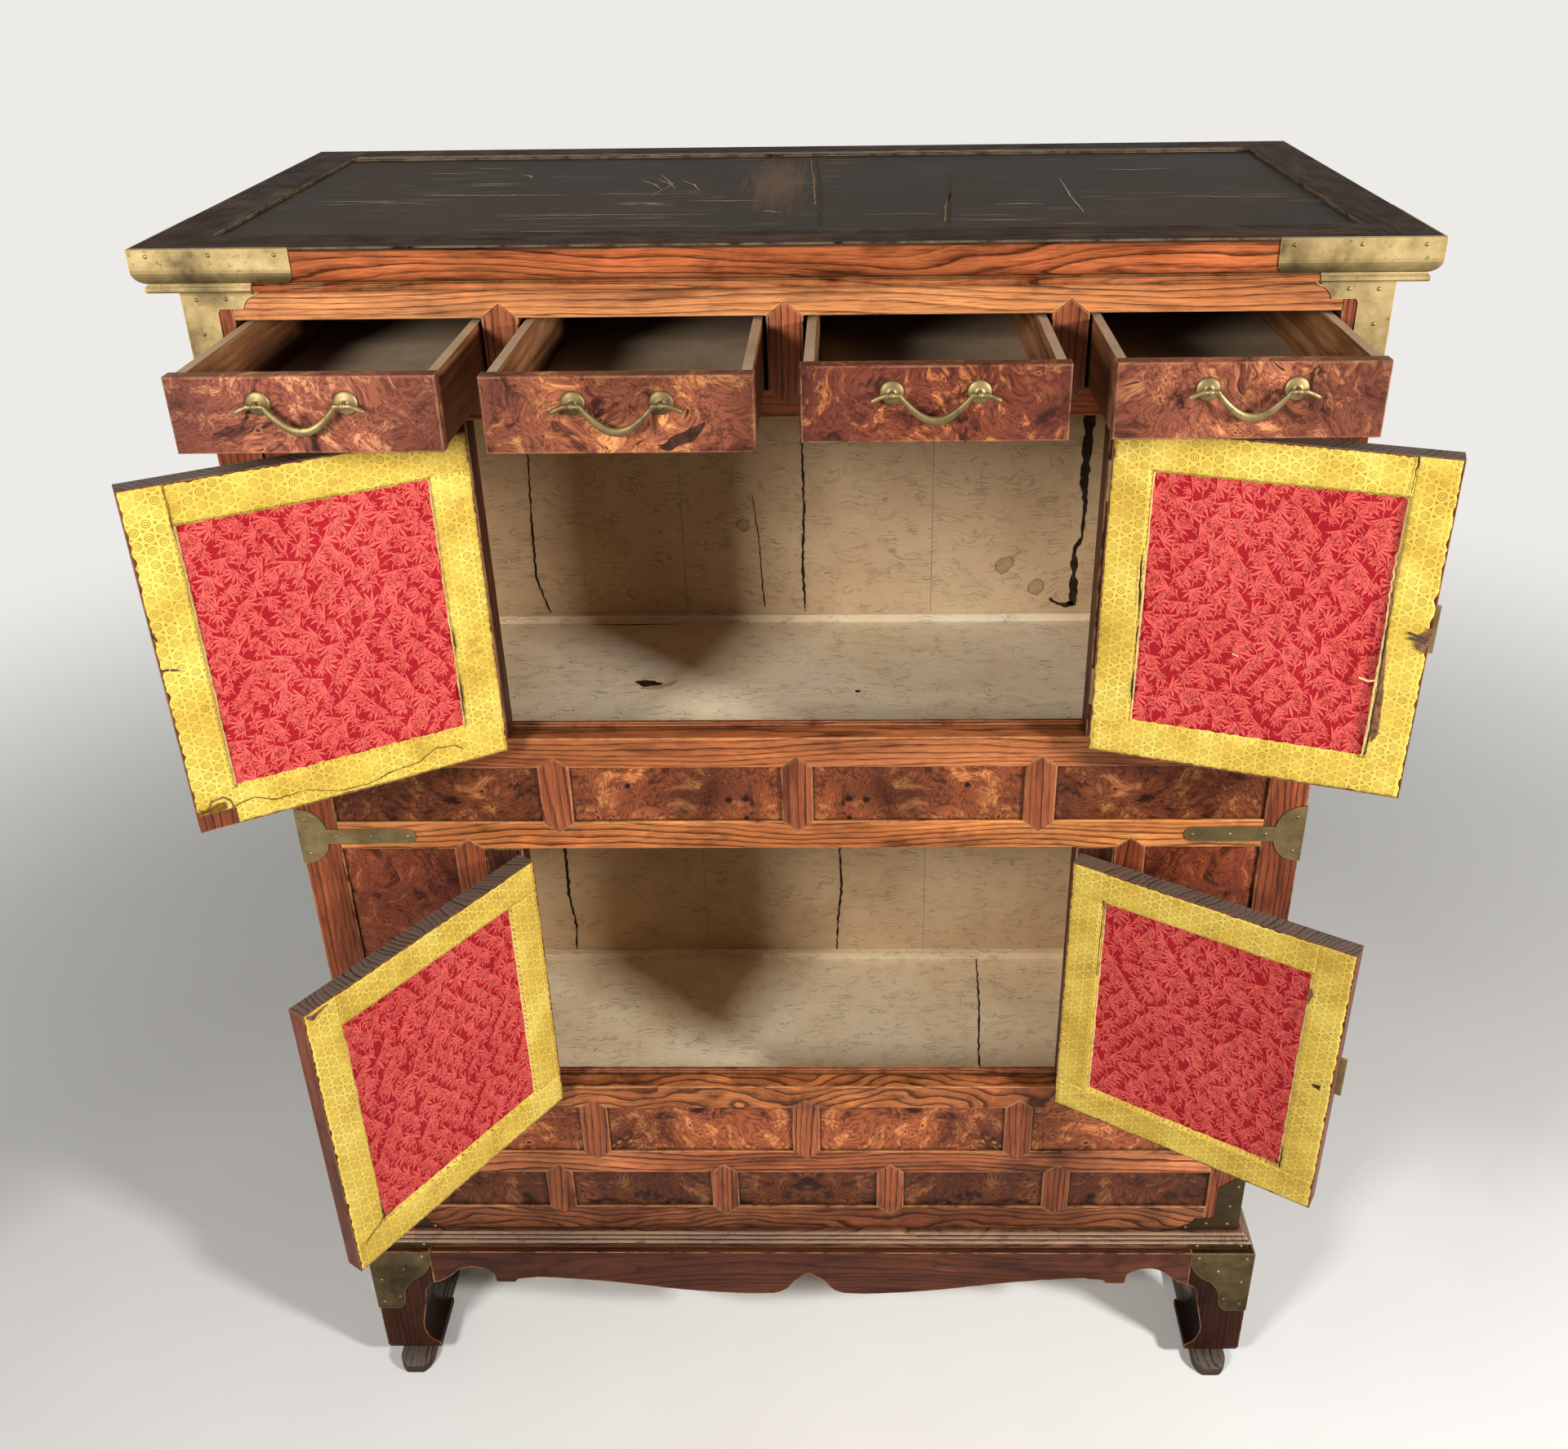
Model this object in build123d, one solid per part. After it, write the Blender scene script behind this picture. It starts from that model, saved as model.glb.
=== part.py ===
from build123d import *
import os

# Driving dimensions, in millimetres.

# Heights, from the floor up
runner_height = 15.0
leg_height = 157.0
base_moulding_height = 18.0
bottom_rail_height = 32.0
lower_row_height = 49.0
row_rail_height = 30.0
upper_row_height = 59.5
lower_sill_height = 28.5
door_opening_height = 288.0
lower_head_height = 29.0
middle_row_height = 56.5
upper_sill_height = 30.0
drawer_rail_height = 22.5
drawer_opening_height = 57.0
top_rail_height = 24.5
cornice_height = 33.5

# Carcass
carcass_width = 900.0
carcass_depth = 420.0
stile_width = 36.0
post_depth = 34.0
rail_depth = 24.0
side_rail_thickness = 20.0
muntin_width = 28.0
muntin_depth = 20.0
muntin_point = 11.0
panel_thickness = 9.0
panel_setback = 3.0
panel_tongue = 5.0
groove_clearance = 0.25
edge_chamfer = 0.8
middle_panel_count = 4
upper_row_count = 4
lower_row_count = 5
drawer_count = 4
flank_panel_width = 102.0
door_post_width = 34.0
back_thickness = 12.0
back_board_count = 3
back_board_gap = 0.4
floor_thickness = 12.0
ledge_height = 9.0
ledge_depth = 8.0
deck_thickness = 10.0
guide_height = 15.0
stop_height = 5.0
stop_depth = 5.5
stop_clearance = 0.6

# Top frame and base moulding
cornice_front_overhang = 20.0
cornice_side_overhang = 24.0
top_frame_width = 46.0
cornice_lip_height = 5.0
cornice_lip_setback = 6.5
cornice_cove_height = 18.0
cornice_quirk = 1.5
top_panel_thickness = 8.0
top_panel_recess = 2.5
top_panel_tongue = 6.0
base_overhang = 13.0
base_moulding_width = 47.0
fascia_height = 9.0
fascia_setback = 3.0
reed_step = 3.0

# Stand
stand_overhang = 17.0
leg_head = 65.0
leg_waist = 20.0
leg_toe = 6.5
leg_heel_radius = 11.0
apron_thickness = 22.0
apron_end_drop = 46.5
apron_lobe_drop = 63.0
apron_arch_width = 65.0
apron_notch_width = 60.0
runner_width = 36.0
runner_inset = 13.0
runner_nose = 16.0
runner_tail = 8.0
runner_bevel = 5.0

# Drawers
drawer_side_gap = 1.0
drawer_top_gap = 2.0
drawer_run_gap = 0.3
drawer_front_lift = 1.0
drawer_front_thickness = 12.0
drawer_side_thickness = 7.0
drawer_bottom_thickness = 6.0
drawer_box_inset = 2.0
drawer_side_drop = 2.0
drawer_depth = 350.0
drawer_out = (138.0, 143.0, 125.0, 123.0)

# Drawer pulls
pull_spacing = 59.5
pull_from_top = 18.4
rosette_radius = 7.3
rosette_height = 4.0
rosette_rim = 0.8
post_radius = 2.8
post_reach = 8.0
bail_pin_radius = 1.5
bail_pin_clearance = 0.06
bail_pin_side = 5.2
bail_collar_radius = 2.0
bail_collar_width = 1.6
bail_drop = 20.5
bail_belly = 6.2
bail_thickness = 3.6
bail_facets = 12
tail_reach = 9.5
tail_drop = 4.2

# Doors
door_thickness = 17.0
door_side_gap = 1.0
door_meeting_gap = 1.2
door_end_gap = 1.5
door_frame_width = 31.5
door_panel_setback = 4.0
door_panel_recess = 3.0
upper_left_door_angle = 150.4
upper_right_door_angle = 161.7
lower_left_door_angle = 124.2
lower_right_door_angle = 148.4
hinge_height = 34.0
hinge_end_distance = 52.0
hinge_leaf_width = 22.0
hinge_leaf_thickness = 1.2
hinge_barrel_radius = 2.2
hinge_pin_radius = 1.2
hinge_pin_clearance = 0.06
hinge_clearance = 0.4
hinge_axis_side = 2.0
hinge_knuckle_gap = 1.6
lock_plate_radius = 48.0
lock_plate_thickness = 1.2
lock_tongue = 5.0
lock_tongue_height = 40.0
lock_clearance = 0.6
staple_radius = 3.0
staple_reach = 9.0

# Brass corner plates
brass_thickness = 1.0
plate_flats = 5
cornice_plate_arm = 117.0
cornice_lip_arm = 83.0
cornice_plate_round = 10.0
corner_arm = 61.0
corner_arm_width = 15.0
corner_stem = 72.0
corner_stem_width = 25.0
corner_gap = 0.5
strap_disc_height = 58.0
strap_disc_width = 27.0
strap_width = 15.0
strap_reach = 106.0
leg_plate_top = 66.0
leg_plate_drop = 86.0
fascia_plate_arm = 60.0

# Levels
z_leg_top = runner_height + leg_height
z_carcass = z_leg_top + base_moulding_height
z_bottom_rail = z_carcass + bottom_rail_height
z_lower_row = z_bottom_rail + lower_row_height
z_row_rail = z_lower_row + row_rail_height
z_upper_row = z_row_rail + upper_row_height
z_lower_sill = z_upper_row + lower_sill_height
z_lower_head = z_lower_sill + door_opening_height
z_middle_row = z_lower_head + lower_head_height
z_middle_top = z_middle_row + middle_row_height
z_upper_sill = z_middle_top + upper_sill_height
z_upper_head = z_upper_sill + door_opening_height
z_deck = z_upper_head + drawer_rail_height
z_drawer_top = z_deck + drawer_opening_height
z_carcass_top = z_drawer_top + top_rail_height
z_top = z_carcass_top + cornice_height

half_width = carcass_width / 2
front = -carcass_depth / 2
back = carcass_depth / 2
inner = half_width - stile_width
side_inner = half_width - side_rail_thickness
flank_edge = inner - flank_panel_width
jamb = flank_edge - muntin_width - door_post_width
door_levels = ((z_lower_sill, z_lower_head), (z_upper_sill, z_upper_head))


# Basic shapes

def block(x, y, z):
    """Rectangular piece that spans the ranges x, y and z."""
    size = [high - low for low, high in (x, y, z)]
    middle = [(high + low) / 2 for low, high in (x, y, z)]
    return Pos(*middle) * Box(*size)


def polygon(*points):
    """Flat shape with straight sides."""
    return make_face(Polyline(*points, close=True).edges())


def arcs(points):
    """Chain of arcs, each through three points; the last point of one begins the next."""
    return [ThreePointArc(*points[i:i + 3]) for i in range(0, len(points) - 2, 2)]


def lines(points):
    """Chain of straight lines from point to point."""
    return [Line(points[i], points[i + 1]) for i in range(len(points) - 1)]


def filed(points):
    """Points along a chain of arcs, each arc filed in a few flats."""
    curve = [points[0]]
    for arc in arcs(points):
        curve += [arc @ (i / plate_flats) for i in range(1, plate_flats + 1)]
    return curve


def from_front(shape, y):
    """Solid whose front view is the flat shape, across the range y."""
    return extrude(Pos(0, y[1], 0) * (Plane.XZ * shape), amount=y[1] - y[0])


def from_side(shape, x):
    """Solid whose side view is the flat shape, across the range x."""
    return extrude(Pos(x[0], 0, 0) * (Plane.YZ * shape), amount=x[1] - x[0])


def from_above(shape, z):
    """Solid whose plan is the flat shape, across the range z."""
    return extrude(Pos(0, 0, z[0]) * shape, amount=z[1] - z[0])


def flipped(piece):
    """The same piece on the other side of the middle."""
    return mirror(piece, about=Plane.YZ)


def pair(piece):
    """A piece and its twin on the other side of the middle."""
    return [piece, flipped(piece)]


def without(piece, cutters):
    """Piece with every cutter taken out of it."""
    for cutter in cutters:
        piece = piece - cutter
    return piece


def eased(piece, direction):
    """Piece with its front edges along one direction chamfered."""
    edges = piece.faces().sort_by(Axis.Y)[0].edges().filter_by(direction)
    return chamfer(edges, edge_chamfer)


# Front frame

def bays(count):
    """Ranges of x of equal openings between the stiles, parted by muntins."""
    pitch = (2 * inner + muntin_width) / count
    starts = [-inner + i * pitch for i in range(count)]
    return [(x, x + pitch - muntin_width) for x in starts]


def front_panel(x, z, extra=0.0):
    """Panel behind the frame face with its tongues let into the frame around it."""
    tongue = panel_tongue + extra
    y = (front + panel_setback - extra, front + panel_setback + panel_thickness + extra)
    return block((x[0] - tongue, x[1] + tongue), y, (z[0] - tongue, z[1] + tongue))


def muntin_blank(x, z):
    """Upright with pointed ends that reach into the rails above and below."""
    half = muntin_width / 2
    shape = polygon(
        (x - half, z[0]), (x, z[0] - muntin_point), (x + half, z[0]),
        (x + half, z[1]), (x, z[1] + muntin_point), (x - half, z[1]))
    return from_front(shape, (front, front + muntin_depth))


def muntin(x, z):
    """Muntin with eased front edges."""
    blank = muntin_blank(x, z)
    return chamfer(blank.faces().sort_by(Axis.Y)[0].edges(), edge_chamfer)


def muntin_spots(count, z):
    """Places of the muntins of one row: middle in x and range in z."""
    return [(right[0] - muntin_width / 2, z) for right in bays(count)[1:]]


middle_z = (z_middle_row, z_middle_top)
upper_row_z = (z_row_rail, z_upper_row)
lower_row_z = (z_bottom_rail, z_lower_row)
drawer_z = (z_deck, z_drawer_top)

row_spots = [(x, middle_z) for x in bays(middle_panel_count)]
row_spots += [(x, upper_row_z) for x in bays(upper_row_count)]
row_spots += [(x, lower_row_z) for x in bays(lower_row_count)]
flank_bay = (flank_edge, inner)
flank_spots = [(flank_bay, z) for z in door_levels]
flank_spots += [((-flank_bay[1], -flank_bay[0]), z) for z in door_levels]

front_muntin_spots = muntin_spots(drawer_count, drawer_z)
front_muntin_spots += muntin_spots(middle_panel_count, middle_z)
front_muntin_spots += muntin_spots(upper_row_count, upper_row_z)
front_muntin_spots += muntin_spots(lower_row_count, lower_row_z)
flank_middle = flank_edge - muntin_width / 2
flank_muntin_spots = [(s * flank_middle, z) for s in (-1, 1) for z in door_levels]

panel_grooves = [front_panel(x, z, groove_clearance) for x, z in row_spots + flank_spots]
muntin_sockets = [muntin_blank(x, z) for x, z in front_muntin_spots + flank_muntin_spots]


def front_rail(low, high):
    """Rail between the stiles, notched for the muntin points and grooved for the panels."""
    bar = block((-inner, inner), (front, front + rail_depth), (low, high))
    return without(eased(bar, Axis.X), muntin_sockets + panel_grooves)


def front_muntins(spots):
    """Muntins with grooves for the panels beside them."""
    return [without(muntin(x, z), panel_grooves) for x, z in spots]


def door_posts():
    """Plain uprights the doors hang on."""
    posts = []
    for z in door_levels:
        post = block((jamb, jamb + door_post_width), (front, front + rail_depth), z)
        posts += pair(eased(post, Axis.Z))
    return posts


# Sides, back and inside

side_y = (front + post_depth, back - post_depth)
side_levels = (
    (z_carcass, z_bottom_rail), (z_lower_head, z_middle_row), (z_middle_top, z_upper_sill),
    (z_upper_head, z_deck), (z_drawer_top, z_carcass_top))


def side_panel(low, high, extra=0.0):
    """Panel of the right side with its tongues let into posts and rails."""
    tongue = panel_tongue + extra
    outer = half_width - panel_setback
    x = (outer - panel_thickness - extra, outer + extra)
    return block(x, (side_y[0] - tongue, side_y[1] + tongue), (low - tongue, high + tongue))


side_bays = [(side_levels[i][1], side_levels[i + 1][0]) for i in range(len(side_levels) - 1)]
side_grooves = [side_panel(low, high, groove_clearance) for low, high in side_bays]


def side_rails():
    """Rails of both sides."""
    rails = []
    for low, high in side_levels:
        bar = block((side_inner, half_width), side_y, (low, high))
        rails += pair(without(bar, side_grooves))
    return rails


def corner_posts():
    """Four posts the whole height of the carcass, grooved for the panels."""
    z = (z_carcass, z_carcass_top)
    fore = block((inner, half_width), (front, front + post_depth), z)
    rear = block((inner, half_width), (back - post_depth, back), z)
    fore = without(eased(fore, Axis.Z), panel_grooves + side_grooves)
    return pair(fore) + pair(without(rear, side_grooves))


def back_boards():
    """Upright boards between the rear posts."""
    pitch = 2 * inner / back_board_count
    half_gap = back_board_gap / 2
    boards = []
    for i in range(back_board_count):
        x = (-inner + i * pitch + half_gap, -inner + (i + 1) * pitch - half_gap)
        boards.append(block(x, (back - back_thickness, back), (z_carcass, z_carcass_top)))
    return boards


def shelf(top, thickness):
    """Board between the side rails, notched round the four posts."""
    y = (front + rail_depth, back - back_thickness)
    z = (top - thickness, top)
    board = block((-side_inner, side_inner), y, z)
    notches = []
    for fore in ((front, front + post_depth), (back - post_depth, back)):
        notches += pair(block((inner, half_width), fore, z))
    return without(board, notches)


def back_ledges():
    """Strips along the foot of the back in both compartments."""
    y = (back - back_thickness - ledge_depth, back - back_thickness)
    return [block((-inner, inner), y, (z, z + ledge_height)) for z in (z_bottom_rail, z_middle_row)]


def drawer_guides():
    """Strips on the deck that keep the drawers apart."""
    z = (z_deck, z_deck + guide_height)
    half = muntin_width / 2
    strips = []
    for x, _ in muntin_spots(drawer_count, drawer_z):
        strips.append(block((x - half, x + half), (front + rail_depth, back - back_thickness), z))
    outer = half_width - panel_setback - panel_thickness
    return strips + pair(block((inner, outer), side_y, z))


def door_stops():
    """Strips on the sills that the closed doors meet."""
    y = front + door_thickness + stop_clearance
    strips = []
    for low, _ in door_levels:
        strip = block((-jamb, jamb), (y, y + stop_depth), (low, low + stop_height))
        edge = strip.faces().sort_by(Axis.Z)[-1].edges().sort_by(Axis.Y)[0]
        strips.append(chamfer(edge, stop_depth * 0.4))
    return strips


# Top and base mouldings

def front_run(profile, overhang, x):
    """Moulding along the front; the profile is drawn inward from the outer edge."""
    plane = Plane((x[0], front - overhang, 0), x_dir=(0, 1, 0), z_dir=(1, 0, 0))
    return extrude(plane * profile, amount=x[1] - x[0])


def side_run(profile, overhang, y):
    """Moulding along the right side; the profile is drawn inward from the outer edge."""
    plane = Plane((half_width + overhang, y[0], 0), x_dir=(-1, 0, 0), z_dir=(0, 1, 0))
    return extrude(plane * profile, amount=y[1] - y[0])


def cornice_profile(width):
    """Lip bead, swelling curve and upright face of the top frame."""
    low = z_carcass_top
    lip = cornice_lip_setback
    bead = low + cornice_lip_height
    quirk = bead + cornice_quirk
    inset = lip + cornice_quirk
    cove = low + cornice_cove_height
    rise = cove - quirk
    round_lip = ThreePointArc((lip, low), (lip * 0.82, (low + bead) / 2), (lip, bead))
    swell = ThreePointArc((inset, quirk), (lip * 0.32, quirk + rise * 0.38), (0, cove))
    curve = [round_lip @ (i / 3) for i in range(4)] + [(inset, bead)]
    curve += [swell @ (i / 6) for i in range(7)]
    return polygon(
        (width, low), *curve, (0, z_top - edge_chamfer), (edge_chamfer, z_top), (width, z_top))


def base_profile(width):
    """Plain fascia with three reeds that step in above it."""
    low = z_leg_top
    fascia = low + fascia_height
    reed = (base_moulding_height - fascia_height) / 3
    points = [(width, low), (fascia_setback, low), (fascia_setback, fascia)]
    for i in range(3):
        z = fascia + i * reed
        step = reed_step * 0.5 + i * reed_step
        nose = step - reed / 2
        points += [(step, z), (nose, z + reed * 0.3), (nose, z + reed * 0.7), (step, z + reed)]
    return polygon(*points, (width, z_carcass))


def mitred_frame(profile, front_overhang, side_overhang, width, z):
    """Front, sides and plain back member of a moulded frame, mitred at the front corners."""
    edge_x = half_width + side_overhang
    edge_y = front - front_overhang
    far = edge_y + width
    near = edge_x - width
    front_plan = polygon((-edge_x, edge_y), (edge_x, edge_y), (near, far), (-near, far))
    side_plan = polygon((edge_x, edge_y), (edge_x, back), (near, back), (near, far))
    front_piece = front_run(profile, front_overhang, (-edge_x, edge_x)) & from_above(front_plan, z)
    side_piece = side_run(profile, side_overhang, (edge_y, back)) & from_above(side_plan, z)
    back_piece = block((-near, near), (back - width, back), z)
    return [front_piece] + pair(side_piece) + [back_piece]


def top_panel(extra=0.0):
    """Panel of the top, let into the moulded frame."""
    reach = top_panel_tongue + extra
    x = half_width + cornice_side_overhang - top_frame_width + reach
    y = (front - cornice_front_overhang + top_frame_width - reach, back - top_frame_width + reach)
    high = z_top - top_panel_recess
    return block((-x, x), y, (high - top_panel_thickness - extra, high + extra))


def cornice():
    """Moulded frame of the top, grooved for its panel."""
    frame = mitred_frame(
        cornice_profile(top_frame_width), cornice_front_overhang, cornice_side_overhang,
        top_frame_width, (z_carcass_top, z_top))
    return [piece - top_panel(groove_clearance) for piece in frame]


def base_moulding():
    """Reeded frame between the carcass and the stand."""
    return mitred_frame(
        base_profile(base_moulding_width), base_overhang, base_overhang,
        base_moulding_width, (z_leg_top, z_carcass))


# Stand

stand_x = half_width + stand_overhang
stand_front = front - stand_overhang
leg_end_z = z_leg_top - apron_end_drop


def leg_view(edge, inward):
    """Elevation of one leg; edge is its outer line and inward the way to its apron."""
    free = leg_end_z - runner_height

    def at(u, share):
        return (edge + inward * (leg_head - u), runner_height + free * share)

    top_in = (edge + inward * leg_head, z_leg_top)
    top_out = (edge, z_leg_top)
    heel = [(edge + inward * leg_heel_radius * u, runner_height + leg_heel_radius * v)
            for u, v in ((0, 1), (0.134, 0.5), (0.5, 0.134), (1, 0))]
    waist = leg_waist
    knee = [at(0, 1), at(waist * 0.35, 0.95), at(waist * 0.58, 0.83), at(waist * 0.78, 0.62),
            at(waist * 0.97, 0.46), at(waist, 0.31), at(waist * 0.82, 0.21), at(waist * 0.6, 0.163),
            at(leg_toe, 0.13)]
    toe = [at(leg_toe * 1.3, 0), at(leg_toe, 0.06), at(leg_toe, 0.13)]
    return make_face(lines([at(0, 1), top_in, top_out] + heel + toe) + arcs(knee))


def legs():
    """Four corner legs, curved the same way on both outer faces."""
    pieces = []
    x = (stand_x - leg_head, stand_x)
    for edge, inward in ((stand_front, 1), (back, -1)):
        y = sorted((edge, edge + inward * leg_head))
        face_on = from_front(leg_view(stand_x, -1), y)
        side_on = from_side(leg_view(edge, inward), x)
        pieces += pair(face_on & side_on)
    return pieces


def apron_view(middle, half, notched):
    """Elevation of a scrolled apron: an arch and a cusp at each end, a pointed notch in the middle."""
    end = apron_end_drop

    def half_edges(side):
        def at(inset, drop):
            return (middle + side * (half - inset), z_leg_top - drop)

        wide = apron_arch_width
        cusp = end * 0.98
        high = end * 0.82
        arch = [at(0, end), at(wide * 0.22, end * 0.86), at(wide * 0.4, end * 0.62),
                at(wide * 0.66, end * 0.49), at(wide, end * 0.69)]
        drop = [at(wide, end * 0.69), at(wide * 1.03, cusp), at(wide * 1.34, cusp),
                at(wide * 1.39, end * 0.88), at(wide * 1.72, high)]
        edges = lines([at(0, 0), at(0, end)]) + arcs(arch) + lines(drop)
        if not notched:
            return edges + lines([drop[-1], at(half, high)])
        lobe = apron_lobe_drop
        notch = apron_notch_width
        start = wide * 1.72
        run = half - notch - start
        swell = [drop[-1], at(start + run * 0.26, lobe * 0.68), at(start + run * 0.51, lobe * 0.81),
                 at(start + run * 0.76, lobe * 0.94), at(half - notch, lobe)]
        point = [at(half - notch * 0.7, lobe * 0.99), at(half - notch * 0.52, lobe * 0.95),
                 at(half - notch * 0.36, lobe * 0.82), at(half - notch * 0.2, lobe * 0.62),
                 at(half, lobe * 0.49)]
        return edges + arcs(swell) + lines([swell[-1], point[0]]) + arcs(point)

    top = Line((middle - half, z_leg_top), (middle + half, z_leg_top))
    return make_face(half_edges(-1) + half_edges(1) + [top])


def front_apron():
    """Scrolled board between the front legs."""
    shape = apron_view(0, stand_x - leg_head, True)
    return from_front(shape, (stand_front, stand_front + apron_thickness))


def side_aprons():
    """Scrolled boards between front and rear legs."""
    y = (stand_front + leg_head, back - leg_head)
    shape = apron_view((y[0] + y[1]) / 2, (y[1] - y[0]) / 2, False)
    return pair(from_side(shape, (stand_x - apron_thickness, stand_x)))


def rear_apron():
    """Plain board between the rear legs."""
    x = stand_x - leg_head
    return block((-x, x), (back - apron_thickness, back), (leg_end_z, z_leg_top))


def runners():
    """Two flat runners under the legs with bevelled noses."""
    x = stand_x - runner_inset
    y = (stand_front - runner_nose, back + runner_tail)
    bar = block((x - runner_width, x), y, (0, runner_height))
    ends = bar.faces().sort_by(Axis.Z)[-1].edges().filter_by(Axis.X)
    return pair(chamfer(ends, runner_bevel))


# Drawers

def drawer_parts(index):
    """Front, box, pull posts and bail of one drawer in its resting place."""
    x = bays(drawer_count)[index]
    face = front - drawer_out[index]
    middle = (x[0] + x[1]) / 2
    inner_y = face + drawer_front_thickness
    low = z_deck + drawer_front_lift
    high = z_drawer_top - drawer_top_gap
    slab = block((x[0] + drawer_side_gap, x[1] - drawer_side_gap), (face, inner_y), (low, high))
    slab = chamfer(slab.faces().sort_by(Axis.Y)[0].edges(), edge_chamfer)
    pull_z = high - pull_from_top
    box = drawer_box(x, inner_y, face, high)
    return slab, box, pull_posts(middle, face, pull_z), bail(middle, face, pull_z)


def drawer_box(x, inner_y, face, high):
    """Two sides, a back and a bottom behind the drawer front."""
    left = x[0] + drawer_side_gap + drawer_box_inset
    right = x[1] - drawer_side_gap - drawer_box_inset
    low = z_deck + drawer_run_gap
    rear = face + drawer_depth
    wall = drawer_side_thickness
    floor = low + drawer_bottom_thickness
    top = high - drawer_side_drop
    return [
        block((left, left + wall), (inner_y, rear), (floor, top)),
        block((right - wall, right), (inner_y, rear), (floor, top)),
        block((left + wall, right - wall), (rear - wall, rear), (floor, top)),
        block((left, right), (inner_y, rear), (low, floor))]


def lug(half, reach):
    """Flat shape of a lug with a blunted end, standing on the line y = 0."""
    nose = half * 0.41
    return polygon(
        (-half, 0), (half, 0), (half, reach + nose), (nose, reach + half), (-nose, reach + half),
        (-half, reach + nose))


def hole(radius, half):
    """Tool for a hole with twelve flats that clears a pin of the given radius, along z both ways."""
    return from_above(RegularPolygon(radius, 12, major_radius=False), (-half, half))


def pull_posts(middle, face, z):
    """Two low twelve-sided rosettes, each with a lug in front that is bored across for the bail."""
    disc = from_above(RegularPolygon(rosette_radius, 12), (0, rosette_height))
    disc = chamfer(disc.faces().sort_by(Axis.Z)[-1].edges(), rosette_height - rosette_rim)
    stem = from_side(lug(post_radius, post_reach), (-post_radius, post_radius))
    bore = Rot(0, 90, 0) * hole(bail_pin_radius + bail_pin_clearance, 2 * post_radius)
    post = Rot(90, 0, 0) * (disc + stem - Pos(0, 0, post_reach) * bore)
    return [Pos(middle + side * pull_spacing / 2, face, z) * post for side in (-1, 1)]


def bail(middle, face, z):
    """Handle hung in the two posts: a bar that swells at the belly, collars, and a tail outside each post."""
    half = pull_spacing / 2
    near = half - bail_pin_side
    far = half + bail_pin_side
    pin = bail_pin_radius
    upper = ThreePointArc((-near, pin), (0, bail_belly - bail_drop), (near, pin))
    lower = ThreePointArc((near, -pin), (0, -bail_drop), (-near, -pin))
    steps = [i / bail_facets for i in range(bail_facets + 1)]
    crescent = Polyline(*[upper @ t for t in steps], *[lower @ t for t in steps], close=True)
    bar = from_front(make_face(crescent.edges()), (-bail_thickness / 2, bail_thickness / 2))
    rod = from_side(RegularPolygon(pin, 12), (near, far))
    collar = extrude(Plane.YZ * RegularPolygon(bail_collar_radius, 8), amount=bail_collar_width)
    collars = Pos(near, 0, 0) * collar + Pos(far - bail_collar_width, 0, 0) * collar
    tip = far + tail_reach
    tail = from_front(
        polygon((far, pin), (tip, pin - tail_drop), (tip, -1.5 * pin - tail_drop), (far, -pin)), (-pin, pin))
    arm = rod + collars + tail
    return Pos(middle, face - post_reach, z) * (bar + arm + flipped(arm))


# Doors

door_low = -jamb + door_side_gap
door_high = -door_meeting_gap / 2
axis_x = -jamb - hinge_axis_side
axis_y = front - hinge_barrel_radius - hinge_clearance


def door_woodwork(level):
    """Stiles, rails and panel of a closed left-hand door."""
    y = (front, front + door_thickness)
    z = (level[0] + door_end_gap, level[1] - door_end_gap)
    border = door_frame_width
    tongue = panel_tongue
    panel_y = (front + door_panel_setback, front + door_thickness - door_panel_recess)
    field_x = (door_low + border, door_high - border)
    field_z = (z[0] + border, z[1] - border)

    def panel(extra):
        reach = tongue + extra
        return block((field_x[0] - reach, field_x[1] + reach), (panel_y[0] - extra, panel_y[1] + extra),
                     (field_z[0] - reach, field_z[1] + reach))

    groove = panel(groove_clearance)
    frame = [
        block((door_low, field_x[0]), y, z) - groove,
        block((field_x[1], door_high), y, z) - groove,
        block(field_x, y, (z[0], field_z[0])) - groove,
        block(field_x, y, (field_z[1], z[1])) - groove]
    return frame, panel(0)


def barrel(z):
    """Hinge knuckle round the hinge axis, hammered to twelve sides."""
    return Pos(axis_x, axis_y, 0) * from_above(RegularPolygon(hinge_barrel_radius, 12), z)


def hinge_leaf(side, z, tab):
    """Leaf on the face of post or door, tied to its knuckle by a tab."""
    start = hinge_barrel_radius + hinge_knuckle_gap
    x = sorted((axis_x + side * start, axis_x + side * hinge_leaf_width))
    leaf = block(x, (front - hinge_leaf_thickness, front), z)
    reach = sorted((axis_x, axis_x + side * (start + hinge_clearance)))
    return leaf + block(reach, (front - hinge_leaf_thickness, front - hinge_clearance), tab)


def hinge(middle):
    """Frame leaf with its pin, and door leaf that drops on the pin, of a left-hand hinge of a closed door."""
    z = (middle - hinge_height / 2, middle + hinge_height / 2)
    lower = (z[0], middle - hinge_clearance / 2)
    upper = (middle + hinge_clearance / 2, z[1])
    bore = hinge_pin_radius + hinge_pin_clearance
    at_axis = Pos(axis_x, axis_y, middle)
    pin = at_axis * Cylinder(hinge_pin_radius, hinge_height)
    fixed = hinge_leaf(-1, z, lower) + barrel(lower) + pin
    loose = hinge_leaf(1, z, upper) + barrel(upper) - at_axis * hole(bore, hinge_height)
    return fixed, loose


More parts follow.
